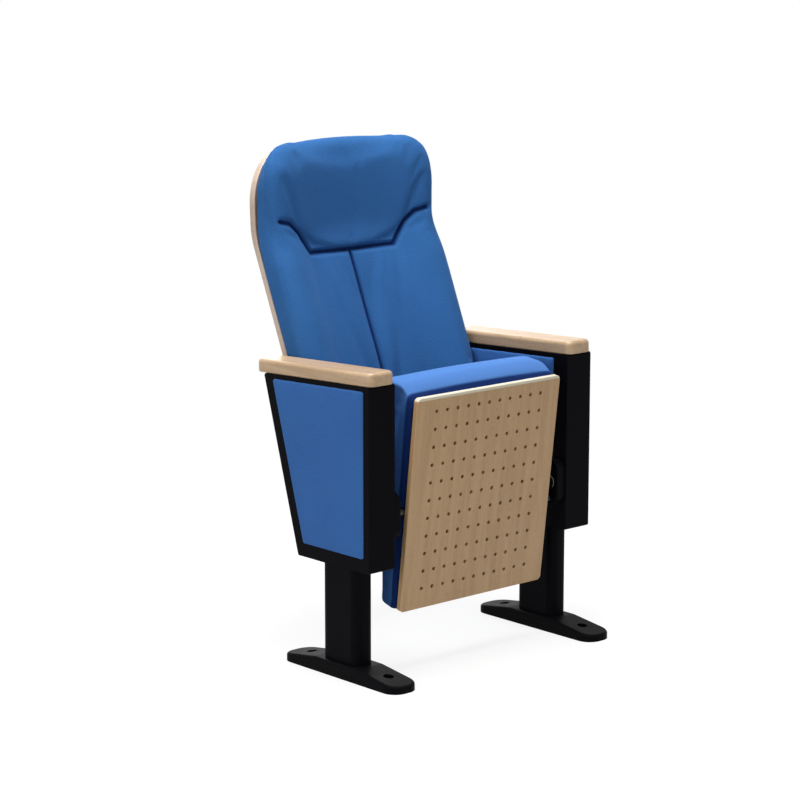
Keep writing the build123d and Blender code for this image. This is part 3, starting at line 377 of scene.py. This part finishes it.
def make_wood(name, light, dark, turn=(0, 0, 0), place=(0, 0, 0), scale=(1, 1, 1), edge_highlight=None):
    """Varnished wood. Turn lays the fibres, and edge_highlight is where a pale strip of painted highlight
    along the front edge ends.
    """
    material, tree, shader = new_material(name, VARNISH_ROUGHNESS, VARNISH)
    laid = new_node(tree, "ShaderNodeMapping")
    laid.inputs["Rotation"].default_value = [math.radians(a) for a in turn]
    laid.inputs["Location"].default_value = place
    laid.inputs["Scale"].default_value = scale
    tree.links.new(object_points(tree), laid.inputs["Vector"])
    grain = use_group(tree, grain_group, Vector=laid.outputs[0])
    colour = mixed(tree, smooth_step(tree, grain.outputs["Streaks"], *STREAKS), light, dark)
    flecks = smooth_step(tree, grain.outputs["Flecks"], *FLECKS)
    fleck_colour = tuple(FLECK_SHADE * c for c in dark)
    colour = mixed(tree, maths(tree, "MULTIPLY", flecks, FLECK_SHARE), colour, fleck_colour)
    # A pale strip along the board's front edge is a painted highlight of its lit edge
    if edge_highlight:
        apart = tree.nodes.new("ShaderNodeSeparateXYZ")
        tree.links.new(laid.outputs[0], apart.inputs[0])
        face = smooth_step(tree, apart.outputs[1], edge_highlight - EDGE_HIGHLIGHT_BLUR, edge_highlight + EDGE_HIGHLIGHT_BLUR)
        colour = mixed(tree, face, EDGE_HIGHLIGHT_COLOUR, colour)
    tree.links.new(colour, shader.inputs["Base Color"])
    rough = maths(tree, "MULTIPLY_ADD", grain.outputs["Fibres"], *FIBRE_ROUGHNESS)
    tree.links.new(rough, shader.inputs["Roughness"])
    bump(tree, shader, grain.outputs["Fibres"], FIBRE_RELIEF, FIBRE_BUMP)
    return material


# %% How the tipped seat turns back to level
TIP_TURN = 83.2  # degrees, because the tipped seat leans 6.8 forward of upright
PIVOT = Vector(frame["record"]["behaviour"]["joints"][0]["pos_m"])

seat_turn = Matrix.Rotation(math.radians(TIP_TURN), 3, "X")
seat_place = -(seat_turn @ PIVOT)
print("the seat turns about", tuple(round(v, 3) for v in PIVOT))

# %% Materials: beech, plywood and blackened board
UPRIGHT = (90, 0, 0)  # lays the fibres along Z
SHELL_SCALE = (1, 0.06, 1)  # hardly any change through the shell's thickness
EDGE_HIGHLIGHT_END = -240 * MM  # where the painted highlight ends on the level seat, whose board starts at -246 mm

beech = make_wood("varnished beech", (0.54, 0.375, 0.222), (0.45, 0.300, 0.170))
shell_plywood = make_wood(
    "varnished shell plywood",
    (0.62, 0.49, 0.40),
    (0.52, 0.40, 0.31),
    UPRIGHT,
    scale=SHELL_SCALE,
)
board_plywood = make_wood(
    "varnished board plywood",
    (0.555, 0.345, 0.160),
    (0.475, 0.288, 0.125),
    (TIP_TURN, 0, 0),
    tuple(seat_place),
    edge_highlight=EDGE_HIGHLIGHT_END,
)
# The boards behind the pads and the back cushion are near black as painted shade, so that their edges show
# as dark gaps between cloth and frame
fibreboard = make_wood("fibreboard darkened as painted shade", (0.020, 0.019, 0.018), (0.014, 0.013, 0.012))
shade_dark_liner = make_wood("blackened plywood", (0.018, 0.018, 0.022), (0.010, 0.010, 0.013), UPRIGHT)
print("woods:", beech.name, shell_plywood.name, board_plywood.name)

# %% [markdown]
# ## Painted and bare metal, plastic, rubber
# Powder coat is not smooth: it dries with a fine orange-peel skin, gets a little glossier
# where hands and shoes polish it, and holds specks of dust. It could be one even black, but
# then the standards would look like card. The same group serves the sheet steel, the cast
# feet, the bare steel and the plastics, with other grain sizes.


# %% Group: worn paint
SKIN_DETAIL = 2.0
PATCHES = {"Scale": 14.0, "Detail": 5.0, "Roughness": 0.6}
DUST_NOISE = {"Scale": 230.0, "Detail": 3.0}
DUST_SPECKS = (0.55, 0.85)  # limits in the noise


def make_paint_group():
    group, start, end = new_group(
        "Worn paint",
        [
            ("Vector", "NodeSocketVector", None),
            ("Grain per metre", "NodeSocketFloat", 700.0),
            ("Polish", "NodeSocketFloat", 0.2),
            ("Base roughness", "NodeSocketFloat", 0.4),
        ],
        [("Skin", "NodeSocketFloat"), ("Roughness", "NodeSocketFloat"), ("Dust", "NodeSocketFloat")],
    )
    vector = start.outputs["Vector"]
    skin = new_node(group, "ShaderNodeTexNoise", {"Detail": SKIN_DETAIL})
    group.links.new(vector, skin.inputs["Vector"])
    group.links.new(start.outputs["Grain per metre"], skin.inputs["Scale"])
    group.links.new(skin.outputs[0], end.inputs["Skin"])
    patches = maths(group, "SUBTRACT", noise(group, vector, **PATCHES), 0.5)
    spread = maths(group, "MULTIPLY", patches, start.outputs["Polish"])
    rough = maths(group, "ADD", start.outputs["Base roughness"], spread)
    group.links.new(rough, end.inputs["Roughness"])
    specks = smooth_step(group, noise(group, vector, **DUST_NOISE), *DUST_SPECKS)
    group.links.new(specks, end.inputs["Dust"])
    return group


paint_group = make_paint_group()
print("group:", paint_group.name)


# %% Material: paint, metal or plastic with a skin
PAINT_SHINE = 0.025
METAL_SHINE = 0.5
DUST_SHARE = 0.35
SKIN_BUMP = 0.5


def make_paint(name, colour, dust, grain, roughness, polish=0.25, metal=0.0, depth=0.12 * MM):
    """Grain is in bumps a metre, and polish is how much the roughness changes in patches."""
    shine = METAL_SHINE if metal else PAINT_SHINE
    material, tree, shader = new_material(name, roughness, {"Metallic": metal, "Specular IOR Level": shine})
    values = {"Grain per metre": grain, "Polish": polish, "Base roughness": roughness}
    paint = use_group(tree, paint_group, values, Vector=object_points(tree))
    dusty = mixed(tree, maths(tree, "MULTIPLY", paint.outputs["Dust"], DUST_SHARE), colour, dust)
    tree.links.new(dusty, shader.inputs["Base Color"])
    tree.links.new(paint.outputs["Roughness"], shader.inputs["Roughness"])
    bump(tree, shader, paint.outputs["Skin"], depth, SKIN_BUMP)
    return material


# %% Materials: black paints
powder_coat = make_paint(
    "black powder coat", (0.0030, 0.0030, 0.0042), (0.011, 0.011, 0.014), grain=900, roughness=0.46
)
cast_paint = make_paint(
    "satin paint on castings",
    (0.0034, 0.0034, 0.0042),
    (0.014, 0.014, 0.016),
    grain=420,
    roughness=0.46,
    polish=0.3,
    depth=0.3 * MM,
)
primer = make_paint("black primer", (0.012, 0.012, 0.013), (0.03, 0.03, 0.03), grain=600, roughness=0.55)
print("paints:", powder_coat.name, cast_paint.name, primer.name)

# %% Materials: bare steel
STEEL_SKIN = {"metal": 1.0, "depth": 0.05 * MM}

zinc = make_paint(
    "zinc plated steel",
    (0.50, 0.50, 0.49),
    (0.34, 0.33, 0.30),
    grain=1500,
    roughness=0.34,
    polish=0.4,
    **STEEL_SKIN,
)
spring_steel = make_paint(
    "oiled spring steel",
    (0.21, 0.21, 0.23),
    (0.10, 0.09, 0.08),
    grain=1800,
    roughness=0.38,
    polish=0.3,
    **STEEL_SKIN,
)
print("steels:", zinc.name, spring_steel.name)

# %% Materials: plastic, rubber and webbing
bush_plastic = make_paint(
    "waxy bush plastic", (0.58, 0.57, 0.52), (0.30, 0.28, 0.25), grain=300, roughness=0.42, polish=0.15
)
clip_plastic = make_paint(
    "black clip plastic", (0.020, 0.020, 0.022), (0.05, 0.05, 0.05), grain=350, roughness=0.48, polish=0.15
)
rubber = make_paint(
    "moulded rubber", (0.013, 0.013, 0.014), (0.06, 0.06, 0.058), grain=500, roughness=0.72, polish=0.12
)
webbing = make_paint(
    "elastic webbing",
    (0.055, 0.050, 0.045),
    (0.12, 0.11, 0.10),
    grain=1100,
    roughness=0.85,
    polish=0.1,
    depth=0.6 * MM,
)
print("materials in the file:", len(bpy.data.materials))

# %% [markdown]
# ## Dressing the CAD nodes
# A CAD node's shape is already right, so it only gets a material. The table goes by the
# record's material slots, which keeps the finishes and the record in step.

# %% Assign finishes by slot
finish_of_slot = {
    "cast_feet": cast_paint,
    "black_steel": powder_coat,
    "hinge_black": cast_paint,
    "frame_steel": primer,
    "pin_steel": zinc,
    "spring_steel": spring_steel,
    "fasteners": zinc,
    "bush_plastic": bush_plastic,
    "clip_plastic": clip_plastic,
    "buffer_rubber": rubber,
    "panel_board": fibreboard,
    "beech": beech,
    "shell_plywood": shell_plywood,
    "liner_board": shade_dark_liner,
    "board_plywood": board_plywood,
    "webbing": webbing,
    "seat_cloth": seat_cloth,
    "back_cloth": back_cloth,
}
slot_of_node = {row["node"]: row["material_slot"] for row in frame["record"]["subparts"]}
for name, node in frame["nodes"].items():
    node.data.materials.clear()
    node.data.materials.append(finish_of_slot[slot_of_node[name]])
print("dressed", len(frame["nodes"]), "nodes")

# %% [markdown]
# ## Stuffed cloth
# A cushion is foam in a sewn cover, and the cover is a little small for its foam, so
# every panel bulges between its seams. It could be sculpted by hand, but a simulation
# finds the bulge by itself: copy the CAD cushion, remesh it evenly, hold it where it is
# glued or sewn, and blow it up with Cloth pressure. Each point may only move so far.


# %% Helper: even skin from a CAD cushion
SAME_POINT = 0.02 * MM


def even_skin(node_name, piece_name, voxel, sink=0.0):
    """A remeshed copy of a CAD cushion, drawn in where it needs room for the swelling."""
    source = frame["nodes"][node_name]
    piece = bpy.data.objects.new(piece_name, source.data.copy())
    bpy.context.collection.objects.link(piece)
    only(piece)
    bpy.ops.object.mode_set(mode="EDIT")
    bpy.ops.mesh.select_all(action="SELECT")
    bpy.ops.mesh.remove_doubles(threshold=SAME_POINT)
    bpy.ops.object.mode_set(mode="OBJECT")
    apply_modifier(piece, "REMESH", mode="VOXEL", voxel_size=voxel)
    if sink:
        apply_modifier(piece, "DISPLACE", strength=-sink, mid_level=0.0)
    only(piece)
    bpy.ops.object.shade_smooth()
    return piece


# %% Helper: blow it up
SWELL_FRAMES = 20
CLOTH_STEPS = 4
CLOTH_MASS = 0.3
STIFFNESS = 12.0
BENDING = 3.0
PRESSURE = 5.0
NO_LENGTH = 1e-9  # keeps a still point from a division by zero


def swell(piece, held, cap):
    """Cloth under pressure. Held points stay, and no point moves further than the cap."""
    before = points_of(piece)
    group = piece.vertex_groups.new(name="held")
    group.add(np.nonzero(held)[0].tolist(), 1.0, "REPLACE")
    cloth = add_modifier(piece, "CLOTH").settings
    cloth.quality = CLOTH_STEPS
    cloth.mass = CLOTH_MASS
    cloth.tension_stiffness = STIFFNESS
    cloth.compression_stiffness = STIFFNESS
    cloth.shear_stiffness = STIFFNESS / 2
    cloth.bending_stiffness = BENDING
    cloth.vertex_group_mass = "held"
    cloth.use_pressure = True
    cloth.uniform_pressure_force = PRESSURE
    cloth.effector_weights.gravity = 0
    scene = bpy.context.scene
    for step in range(1, SWELL_FRAMES + 1):
        scene.frame_set(step)
    puffed = piece.evaluated_get(bpy.context.evaluated_depsgraph_get())
    move = points_of(puffed) - before
    length = np.linalg.norm(move, axis=1, keepdims=True)
    limited = cap * np.tanh(length / cap)
    piece.modifiers.clear()
    piece.vertex_groups.clear()
    move_points(piece, before + move * limited / np.maximum(length, NO_LENGTH))
    scene.frame_set(1)
    print(piece.name, "swelled by up to", round(float(limited.max()) / MM, 1), "mm")


# %% Helpers: lay the cloth and mark its points
def lay_cloth(piece, cloth):
    """A UV map in metres for the weave, and the cloth itself."""
    only(piece)
    bpy.ops.object.mode_set(mode="EDIT")
    bpy.ops.mesh.select_all(action="SELECT")
    bpy.ops.uv.cube_project(cube_size=1.0, correct_aspect=False, scale_to_bounds=False)
    bpy.ops.object.mode_set(mode="OBJECT")
    piece.data.materials.clear()
    piece.data.materials.append(cloth)


def mark_points(piece, name, share):
    """A value from 0 to 1 on each point, which the cloth's material reads by its name."""
    layer = piece.data.attributes.new(name, "FLOAT", "POINT")
    layer.data.foreach_set("value", np.clip(share, 0, 1).astype(np.float32))


def smooth_share(value, low, high):
    """The same even change as the Map Range node's, for arrays."""
    t = np.clip((value - low) / (high - low), 0, 1)
    return t * t * (3 - 2 * t)


# %% [markdown]
# ## The seat cushion
# The cushion is a wedge of foam, thin at the hinge and thick under the knees. Its cover
# is pulled tight over a hidden steel hoop and stapled under the edge of the wooden board,
# so the cloth turns in just before it meets the wood and leaves a dark line there, which
# painted shade deepens.
# The seat is drawn tipped up. Turning its points level makes the shaping easier to say:
# how far along the seat, how far from the middle and how high above the board.


# %% Helpers: between the tipped and the level seat
def to_level(points):
    return points @ np.array(seat_turn).T + np.array(seat_place)


def to_tipped(points):
    return (points - np.array(seat_place)) @ np.array(seat_turn)


# %% Seat cushion: swell it
BOARD_INSIDE = -12 * MM  # the board's face under the foam, in the level seat's Z
CUSHION_VOXEL = 6 * MM
SEAT_SINK = 3 * MM
SEAT_SWELL = 7 * MM
STAPLED_HEIGHT = 7 * MM  # above the board
POCKET_HALF = 203 * MM  # the pocket for the steel hoop keeps its shape
POCKET_END = 12 * MM
POCKET_HEIGHT = 31 * MM

seat_cushion = even_skin("seat_cushion", "seat_cushion_cloth", CUSHION_VOXEL, SEAT_SINK)
level = to_level(points_of(seat_cushion))
back_end = level[:, 1].max()
front_end = level[:, 1].min()
underneath = level[:, 2] < BOARD_INSIDE + STAPLED_HEIGHT
between_sides = np.abs(level[:, 0]) < POCKET_HALF
between_ends = (level[:, 1] > front_end + POCKET_END) & (level[:, 1] < back_end - POCKET_END)
in_pocket = between_sides & between_ends & (level[:, 2] < BOARD_INSIDE + POCKET_HEIGHT)
swell(seat_cushion, underneath | in_pocket, SEAT_SWELL)
apply_modifier(seat_cushion, "SMOOTH", factor=0.5, iterations=3)
apply_modifier(seat_cushion, "SUBSURF", levels=1, render_levels=1)
print("held points:", int((underneath | in_pocket).sum()), "of", len(level))

# %% Seat cushion: roll the cloth in above the board
ROLL = 20.0 * MM
REAR_ROLL = 0.6  # of the roll at the front
SIDE_ROLL = 0.5
FRONT_BAND = 30 * MM
REAR_BAND = 20 * MM
SIDE_START = 196 * MM  # from the middle

level = to_level(points_of(seat_cushion))
above_board = level[:, 2] - BOARD_INSIDE
climb = np.clip(above_board / ROLL, 0, 1)
roll = ROLL * (1 - np.sqrt(1 - (1 - climb) ** 2))
at_front = level[:, 1] < level[:, 1].min() + FRONT_BAND
at_rear = level[:, 1] > level[:, 1].max() - REAR_BAND
at_side = np.abs(level[:, 0]) > SIDE_START
level[:, 1] += roll * (at_front - at_rear * REAR_ROLL)
level[:, 0] -= np.sign(level[:, 0]) * roll * at_side * SIDE_ROLL
print("points in the roll:", int((roll > 0).sum()))

# %% Seat cushion: fill its front and dress it
FRONT_PUFF = 16.0 * MM
PUFF_START = (4 * MM, 48 * MM)  # above the board
PUFF_END = (80 * MM, 140 * MM)
TUCK_SHADOW = (16 * MM, 20 * MM)
PAINTED_HIGHLIGHT_BAND = (10 * MM, 55 * MM)  # from the front

puff = smooth_share(above_board, *PUFF_START) * (1 - smooth_share(above_board, *PUFF_END))
level[:, 1] -= puff * at_front * FRONT_PUFF
move_points(seat_cushion, to_tipped(level))
tuck_shadow = (1 - smooth_share(above_board, *TUCK_SHADOW)) * (at_front | at_rear | at_side)
# A painted highlight along the front of the seat, which faces up when it is tipped
painted_highlight = 1 - smooth_share(level[:, 1] - level[:, 1].min(), *PAINTED_HIGHLIGHT_BAND)

lay_cloth(seat_cushion, seat_cloth)
mark_points(seat_cushion, "seam", tuck_shadow)
mark_points(seat_cushion, "painted_highlight", painted_highlight)
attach(seat_cushion, "seat")
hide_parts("seat_cushion")
print("seat cushion:", len(seat_cushion.data.polygons), "faces")

# %% [markdown]
# ## The back cushion
# The back is upholstered in three panels: a headrest above a stepped seam, and two long
# panels either side of a seam down the middle. Each seam is sewn through to the foam, so
# it is held fast while the panels between swell, which gives them their soft lips.
# A seam is only a few millimetres wide, so it is pressed in after the remesh, as a
# narrow valley along its line.

# %% The lines of the seams, seen from the front
SEAM_Z = 0.864  # the height from which the points below are measured
HALF_SEAM = [(0.0, -0.042), (0.118, -0.040), (0.150, 0.006), (0.176, 0.028), (0.203, 0.035)]
FAR_AWAY = 1.0


def seam_distance(points):
    """How far each point is from the nearest seam, measured on the front view."""
    x, z = np.abs(points[:, 0]), points[:, 2] - SEAM_Z
    away = np.full(len(points), FAR_AWAY)
    for (x1, z1), (x2, z2) in zip(HALF_SEAM, HALF_SEAM[1:]):
        run, climb = x2 - x1, z2 - z1
        share = np.clip(((x - x1) * run + (z - z1) * climb) / (run * run + climb * climb), 0, 1)
        away = np.minimum(away, np.hypot(x - x1 - share * run, z - z1 - share * climb))
    lowest = HALF_SEAM[0][1]
    middle_seam = np.where(z < lowest, x, np.hypot(x, z - lowest))
    return np.minimum(away, middle_seam)


# %% Helper: even out the chosen points only
def smooth_where(piece, mask, passes):
    group = piece.vertex_groups.new(name="smoothed")
    group.add(np.nonzero(mask)[0].tolist(), 1.0, "REPLACE")
    apply_modifier(piece, "SMOOTH", vertex_group="smoothed", factor=0.5, iterations=passes)
    piece.vertex_groups.remove(piece.vertex_groups["smoothed"])


# %% Back cushion: swell it between its seams
BACK_SINK = 1.5 * MM
BACK_SWELL = 9 * MM
NEAR_SEAM = 13 * MM  # the CAD cushion's own groove is smoothed away over this
GROOVE_PASSES = 60
SEWN = 5 * MM
FRONT_FACING = -0.2  # limits for the Y of a point's normal
REAR_FACING = 0.35

back_cushion = even_skin("back_cushion", "back_cushion_cloth", CUSHION_VOXEL, BACK_SINK)
near_seam = seam_distance(points_of(back_cushion)) < NEAR_SEAM
facing_front = outward_of(back_cushion)[:, 1] < FRONT_FACING
smooth_where(back_cushion, near_seam & facing_front, GROOVE_PASSES)
rear = outward_of(back_cushion)[:, 1] > REAR_FACING
sewn = (seam_distance(points_of(back_cushion)) < SEWN) & ~rear
swell(back_cushion, rear | sewn, BACK_SWELL)
apply_modifier(back_cushion, "SMOOTH", factor=0.5, iterations=2)
apply_modifier(back_cushion, "SUBSURF", levels=1, render_levels=1)
print("sewn points:", int(sewn.sum()))

# %% Back cushion: press the seams in
SEAM_DEPTH = 8.5 * MM
SEAM_HALF_WIDTH = 10.0 * MM
SEAM_STEEPNESS = 1.5
FRONT_SHARE = (0.05, 0.4)  # how far a point's normal has to look forward to count as front

points = points_of(back_cushion)
facing = outward_of(back_cushion)
away = seam_distance(points)
front = smooth_share(-facing[:, 1], *FRONT_SHARE)
valley = np.cos(np.clip(away / SEAM_HALF_WIDTH, 0, 1) * math.pi / 2) ** SEAM_STEEPNESS * front
points[:, 1] += valley * SEAM_DEPTH
print("seams pressed in by up to", round(float(valley.max() * SEAM_DEPTH) / MM, 1), "mm")

# %% Back cushion: bolsters at the sides of the long panels, with a shallow hollow inside them
BOLSTER = 12.0 * MM
BOLSTER_BAND = (130 * MM, 205 * MM)  # from the middle
BOLSTER_START = (0.42, 0.52)  # heights above the floor
BOLSTER_END = (0.80, 0.90)
HOLLOW_DEPTH = 0.35  # of the bolster
HOLLOW_MIDDLE = 112 * MM
HOLLOW_WIDTH = 30 * MM
SIDE_PUFF = 11.0 * MM
SIDE_PUFF_BAND = (150 * MM, 228 * MM)
SIDE_PUFF_START = (0.46, 0.62)
SIDE_PUFF_END = (0.76, 0.94)
SIDE_PUFF_LOSS = 0.7  # how much less the headrest puffs

side = np.abs(points[:, 0])
height = smooth_share(points[:, 2], *BOLSTER_START) * (1 - smooth_share(points[:, 2], *BOLSTER_END))
hollow = HOLLOW_DEPTH * np.exp(-(((side - HOLLOW_MIDDLE) / HOLLOW_WIDTH) ** 2))
bolster = smooth_share(side, *BOLSTER_BAND) - hollow
points[:, 1] -= bolster * height * front * BOLSTER
less = 1 - SIDE_PUFF_LOSS * smooth_share(points[:, 2], *SIDE_PUFF_END)
wide = smooth_share(points[:, 2], *SIDE_PUFF_START) * less
points[:, 0] += np.sign(points[:, 0]) * smooth_share(side, *SIDE_PUFF_BAND) * wide * SIDE_PUFF
print("half width:", round(float(np.abs(points[:, 0]).max()) / MM, 1), "mm")

# %% [markdown]
# ## The headrest's outline
# The cover of the headrest is cut squarer than its foam, and at its top it falls away to
# the board behind. Its corners could be dragged out with proportional editing, but a
# formula keeps both sides the same: a superellipse says how far to push each point of the
# round corner, from the corner's middle outwards.

# %% Headrest: where its points lie
CORNER_MIDDLE = (0.120, 0.955)  # of the rounded corners, from the front
CORNER_RADIUS = 0.111
TINY = 1e-6  # keeps the corner's middle from a division by zero
CORNER_EDGE = (60 * MM, 8 * MM)  # inside the radius, where the push starts and is full
PUSH_RISE = (-70 * MM, 30 * MM)  # from the corner's middle, up
REAR_FLAT_Z = 0.88  # the part above this shows where the flat rear face lies
REAR_FLAT_FACING = 0.8

corner_x, corner_z = CORNER_MIDDLE
across = np.maximum(side - corner_x, 0)
up = np.maximum(points[:, 2] - corner_z, 0)
reach = np.hypot(across, up)
into = np.maximum(reach, TINY)
near_edge = smooth_share(reach, *[CORNER_RADIUS - inside for inside in CORNER_EDGE])
near_edge = near_edge * smooth_share(points[:, 2], *[corner_z + rise for rise in PUSH_RISE])
flat_rear = (facing[:, 1] > REAR_FLAT_FACING) & (points[:, 2] > REAR_FLAT_Z)
terms = np.column_stack([np.ones(len(points)), points[:, 2], points[:, 0] ** 2])
rear_face = terms @ np.linalg.lstsq(terms[flat_rear], points[flat_rear, 1], rcond=None)[0]
ahead = rear_face - points[:, 1]
print("headrest thickness:", round(float(ahead[points[:, 2] > REAR_FLAT_Z].max()) / MM, 1), "mm")

# %% Headrest: push its outline
CORNER_POWER = 3.2  # 2 leaves the corners round, and more makes them squarer
FRONT_FULLNESS = 5.0 * MM
FULL_AHEAD = (8 * MM, 34 * MM)  # ahead of the rear face
REAR_FALL = 10.0 * MM
FALL_AHEAD = (0, 22 * MM)
FALL_POWER = 4  # keeps the fall to the top
AT_MIDDLE = 0.1 * MM  # nearer to the corner's middle there is no way outwards

round_off = ((across / into) ** CORNER_POWER + (up / into) ** CORNER_POWER) ** (-1 / CORNER_POWER)
squarer = CORNER_RADIUS * (np.where(reach > AT_MIDDLE, round_off, 1) - 1)
outward = (FRONT_FULLNESS + squarer) * smooth_share(ahead, *FULL_AHEAD)
outward = outward - REAR_FALL * (1 - smooth_share(ahead, *FALL_AHEAD)) * (up / into) ** FALL_POWER
points[:, 0] += np.sign(points[:, 0]) * across / into * near_edge * outward
points[:, 2] += up / into * near_edge * outward
print("headrest top:", round(float(points[:, 2].max()), 4), "m")

# %% Back cushion: cover the black board's edge and dress it
RIM_BAND = (222 * MM, 229 * MM)  # from the middle
RIM_FACING = (0.0, 0.6)
RIM_COVER = 4.5 * MM
SEAM_SHADOW = (2.0 * MM, 6.5 * MM)

at_rim = smooth_share(side, *RIM_BAND) * smooth_share(facing[:, 1], *RIM_FACING)
points[:, 1] += at_rim * RIM_COVER
move_points(back_cushion, points)
lay_cloth(back_cushion, back_cloth)
mark_points(back_cushion, "seam", (1 - smooth_share(away, *SEAM_SHADOW)) * front)
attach(back_cushion, "stand")
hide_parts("back_cushion")
print("back cushion:", len(back_cushion.data.polygons), "faces")

# %% [markdown]
# ## The pads of the side standards
# Each standard has a cloth-covered board in a window on both faces. Only a thin wadding
# lies under the cloth, so these pads stand a few millimetres proud and fall away to their
# rims, where the cloth is pulled round the board. A simulation would be spent on very
# little here, so each point rises by its distance from the rim.


# %% Helper: distance from a rim
def rim_distance(points, rim):
    """How far each point is from the nearest point of a rim."""
    tree = kdtree.KDTree(len(rim))
    for number, point in enumerate(rim):
        tree.insert(point, number)
    tree.balance()
    return np.array([tree.find(point)[2] for point in points])


# %% Side pads
PAD_VOXEL = 2 * MM
PAD_CROWN = 3.5 * MM
CROWN_REACH = 22 * MM
RIM_LIMIT = 0.4  # a point whose normal looks less to the side is on the rim
PAD_FACE = (0.5, 0.9)

for side in ("left", "right"):
    for face in ("outer", "inner"):
        node_name = f"{face}_pad_{side}"
        pad = even_skin(node_name, f"{node_name}_cloth", PAD_VOXEL)
        points = points_of(pad)
        looks = 1 if (side == "left") == (face == "outer") else -1
        facing = outward_of(pad)[:, 0] * looks
        to_rim = rim_distance(points, points[np.abs(facing) < RIM_LIMIT])
        crown = (1 - np.exp(-to_rim / CROWN_REACH)) * smooth_share(facing, *PAD_FACE)
        points[:, 0] += looks * crown * PAD_CROWN
        move_points(pad, points)
        apply_modifier(pad, "SMOOTH", factor=0.5, iterations=4)
        lay_cloth(pad, seat_cloth)
        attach(pad, "stand")
        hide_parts(node_name)
        print(node_name, len(pad.data.polygons), "faces")

# %% [markdown]
# ## The studio
# A pale floor, a white world and four soft lamps. The camera and mirror-like paint see
# the floor and the world nearly white, because both give off a glow that only those rays
# meet. For all other light the floor is an ordinary pale one and the world is dim, so the
# lamps alone shape the chair, and the floor keeps its shadow.


# %% Helper: rays that look, and don't light
def looking_rays(tree):
    """1 for camera, glossy and transmission rays, 0 for the rest."""
    ray = tree.nodes.new("ShaderNodeLightPath")
    looking = maths(tree, "MAXIMUM", ray.outputs["Is Camera Ray"], ray.outputs["Is Glossy Ray"])
    return maths(tree, "MAXIMUM", looking, ray.outputs["Is Transmission Ray"])


# %% Floor
FLOOR_SIZE = 40
FLOOR_GREY = (0.66, 0.66, 0.66, 1)
WHITE = (1, 1, 1, 1)
GLOW = 0.80  # of the floor's white that is not left to the lamps
LIT = 1.05 - GLOW  # what the lamps add, a little over the rest so that no grey is left
FLOOR_NEAR = 0.9  # metres from the middle, where the lamps' share starts to fade
FLOOR_FAR = 2.2  # and where only the glow is left

bpy.ops.object.select_all(action="DESELECT")
bpy.ops.mesh.primitive_plane_add(size=FLOOR_SIZE, location=(0, 0, 0))
floor = bpy.context.object
floor.name = "studio_floor"

floor_material = bpy.data.materials.new("pale studio floor")
floor_material.use_nodes = True
tree = floor_material.node_tree
tree.nodes.clear()
output = tree.nodes.new("ShaderNodeOutputMaterial")
plain = new_node(tree, "ShaderNodeBsdfDiffuse", {"Color": FLOOR_GREY})
seen = tree.nodes.new("ShaderNodeBsdfDiffuse")
glow = new_node(tree, "ShaderNodeEmission", {"Color": WHITE})
both = tree.nodes.new("ShaderNodeAddShader")
far = new_node(tree, "ShaderNodeVectorMath", operation="LENGTH")
tree.links.new(object_points(tree), far.inputs[0])
distance = smooth_step(tree, far.outputs["Value"], FLOOR_NEAR, FLOOR_FAR)
tree.links.new(maths(tree, "MULTIPLY_ADD", distance, 1 - GLOW, GLOW), glow.inputs["Strength"])
tree.links.new(mixed(tree, distance, (LIT,) * 3, (0.0, 0.0, 0.0)), seen.inputs["Color"])
tree.links.new(seen.outputs[0], both.inputs[0])
tree.links.new(glow.outputs[0], both.inputs[1])
choice = tree.nodes.new("ShaderNodeMixShader")
tree.links.new(looking_rays(tree), choice.inputs[0])
tree.links.new(plain.outputs[0], choice.inputs[1])
tree.links.new(both.outputs[0], choice.inputs[2])
tree.links.new(choice.outputs[0], output.inputs[0])
floor.data.materials.append(floor_material)
print("floor:", FLOOR_SIZE, "m wide")

# %% World
AMBIENT = 0.12  # of white, for the rays that light the chair

world = bpy.data.worlds.new("studio world")
bpy.context.scene.world = world
world.use_nodes = True
tree = world.node_tree
light = tree.nodes["Background"]
light.inputs["Color"].default_value = WHITE
strength = maths(tree, "MULTIPLY_ADD", looking_rays(tree), 1 - AMBIENT, AMBIENT)
tree.links.new(strength, light.inputs["Strength"])
print("world:", world.name)


# %% Lamps
def soft_lamp(name, place, aim, size, power):
    """A big square lamp that looks at a point."""
    bpy.ops.object.light_add(type="AREA", location=place)
    lamp = bpy.context.object
    lamp.name = name
    lamp.rotation_euler = (Vector(aim) - Vector(place)).to_track_quat("-Z", "Y").to_euler()
    lamp.data.size = size
    lamp.data.energy = power


CHAIR_MIDDLE = (0, 0, 0.5)
CHAIR_FOOT = (0, 0, 0.3)
soft_lamp("lamp_overhead", (-0.2, 0.05, 3.4), CHAIR_MIDDLE, size=2.0, power=122)
soft_lamp("lamp_left", (-3.3, -0.6, 1.5), CHAIR_MIDDLE, size=1.8, power=33)
soft_lamp("lamp_front", (-0.9, -3.0, 0.6), CHAIR_FOOT, size=1.4, power=7.5)
soft_lamp("lamp_behind", (1.8, 3.2, 1.9), CHAIR_MIDDLE, size=2.0, power=34)
print("lamps:", len(bpy.data.lights))

# %% [markdown]
# Standard view keeps the colours as written.

# %% Finish
bpy.context.scene.view_settings.view_transform = "Standard"
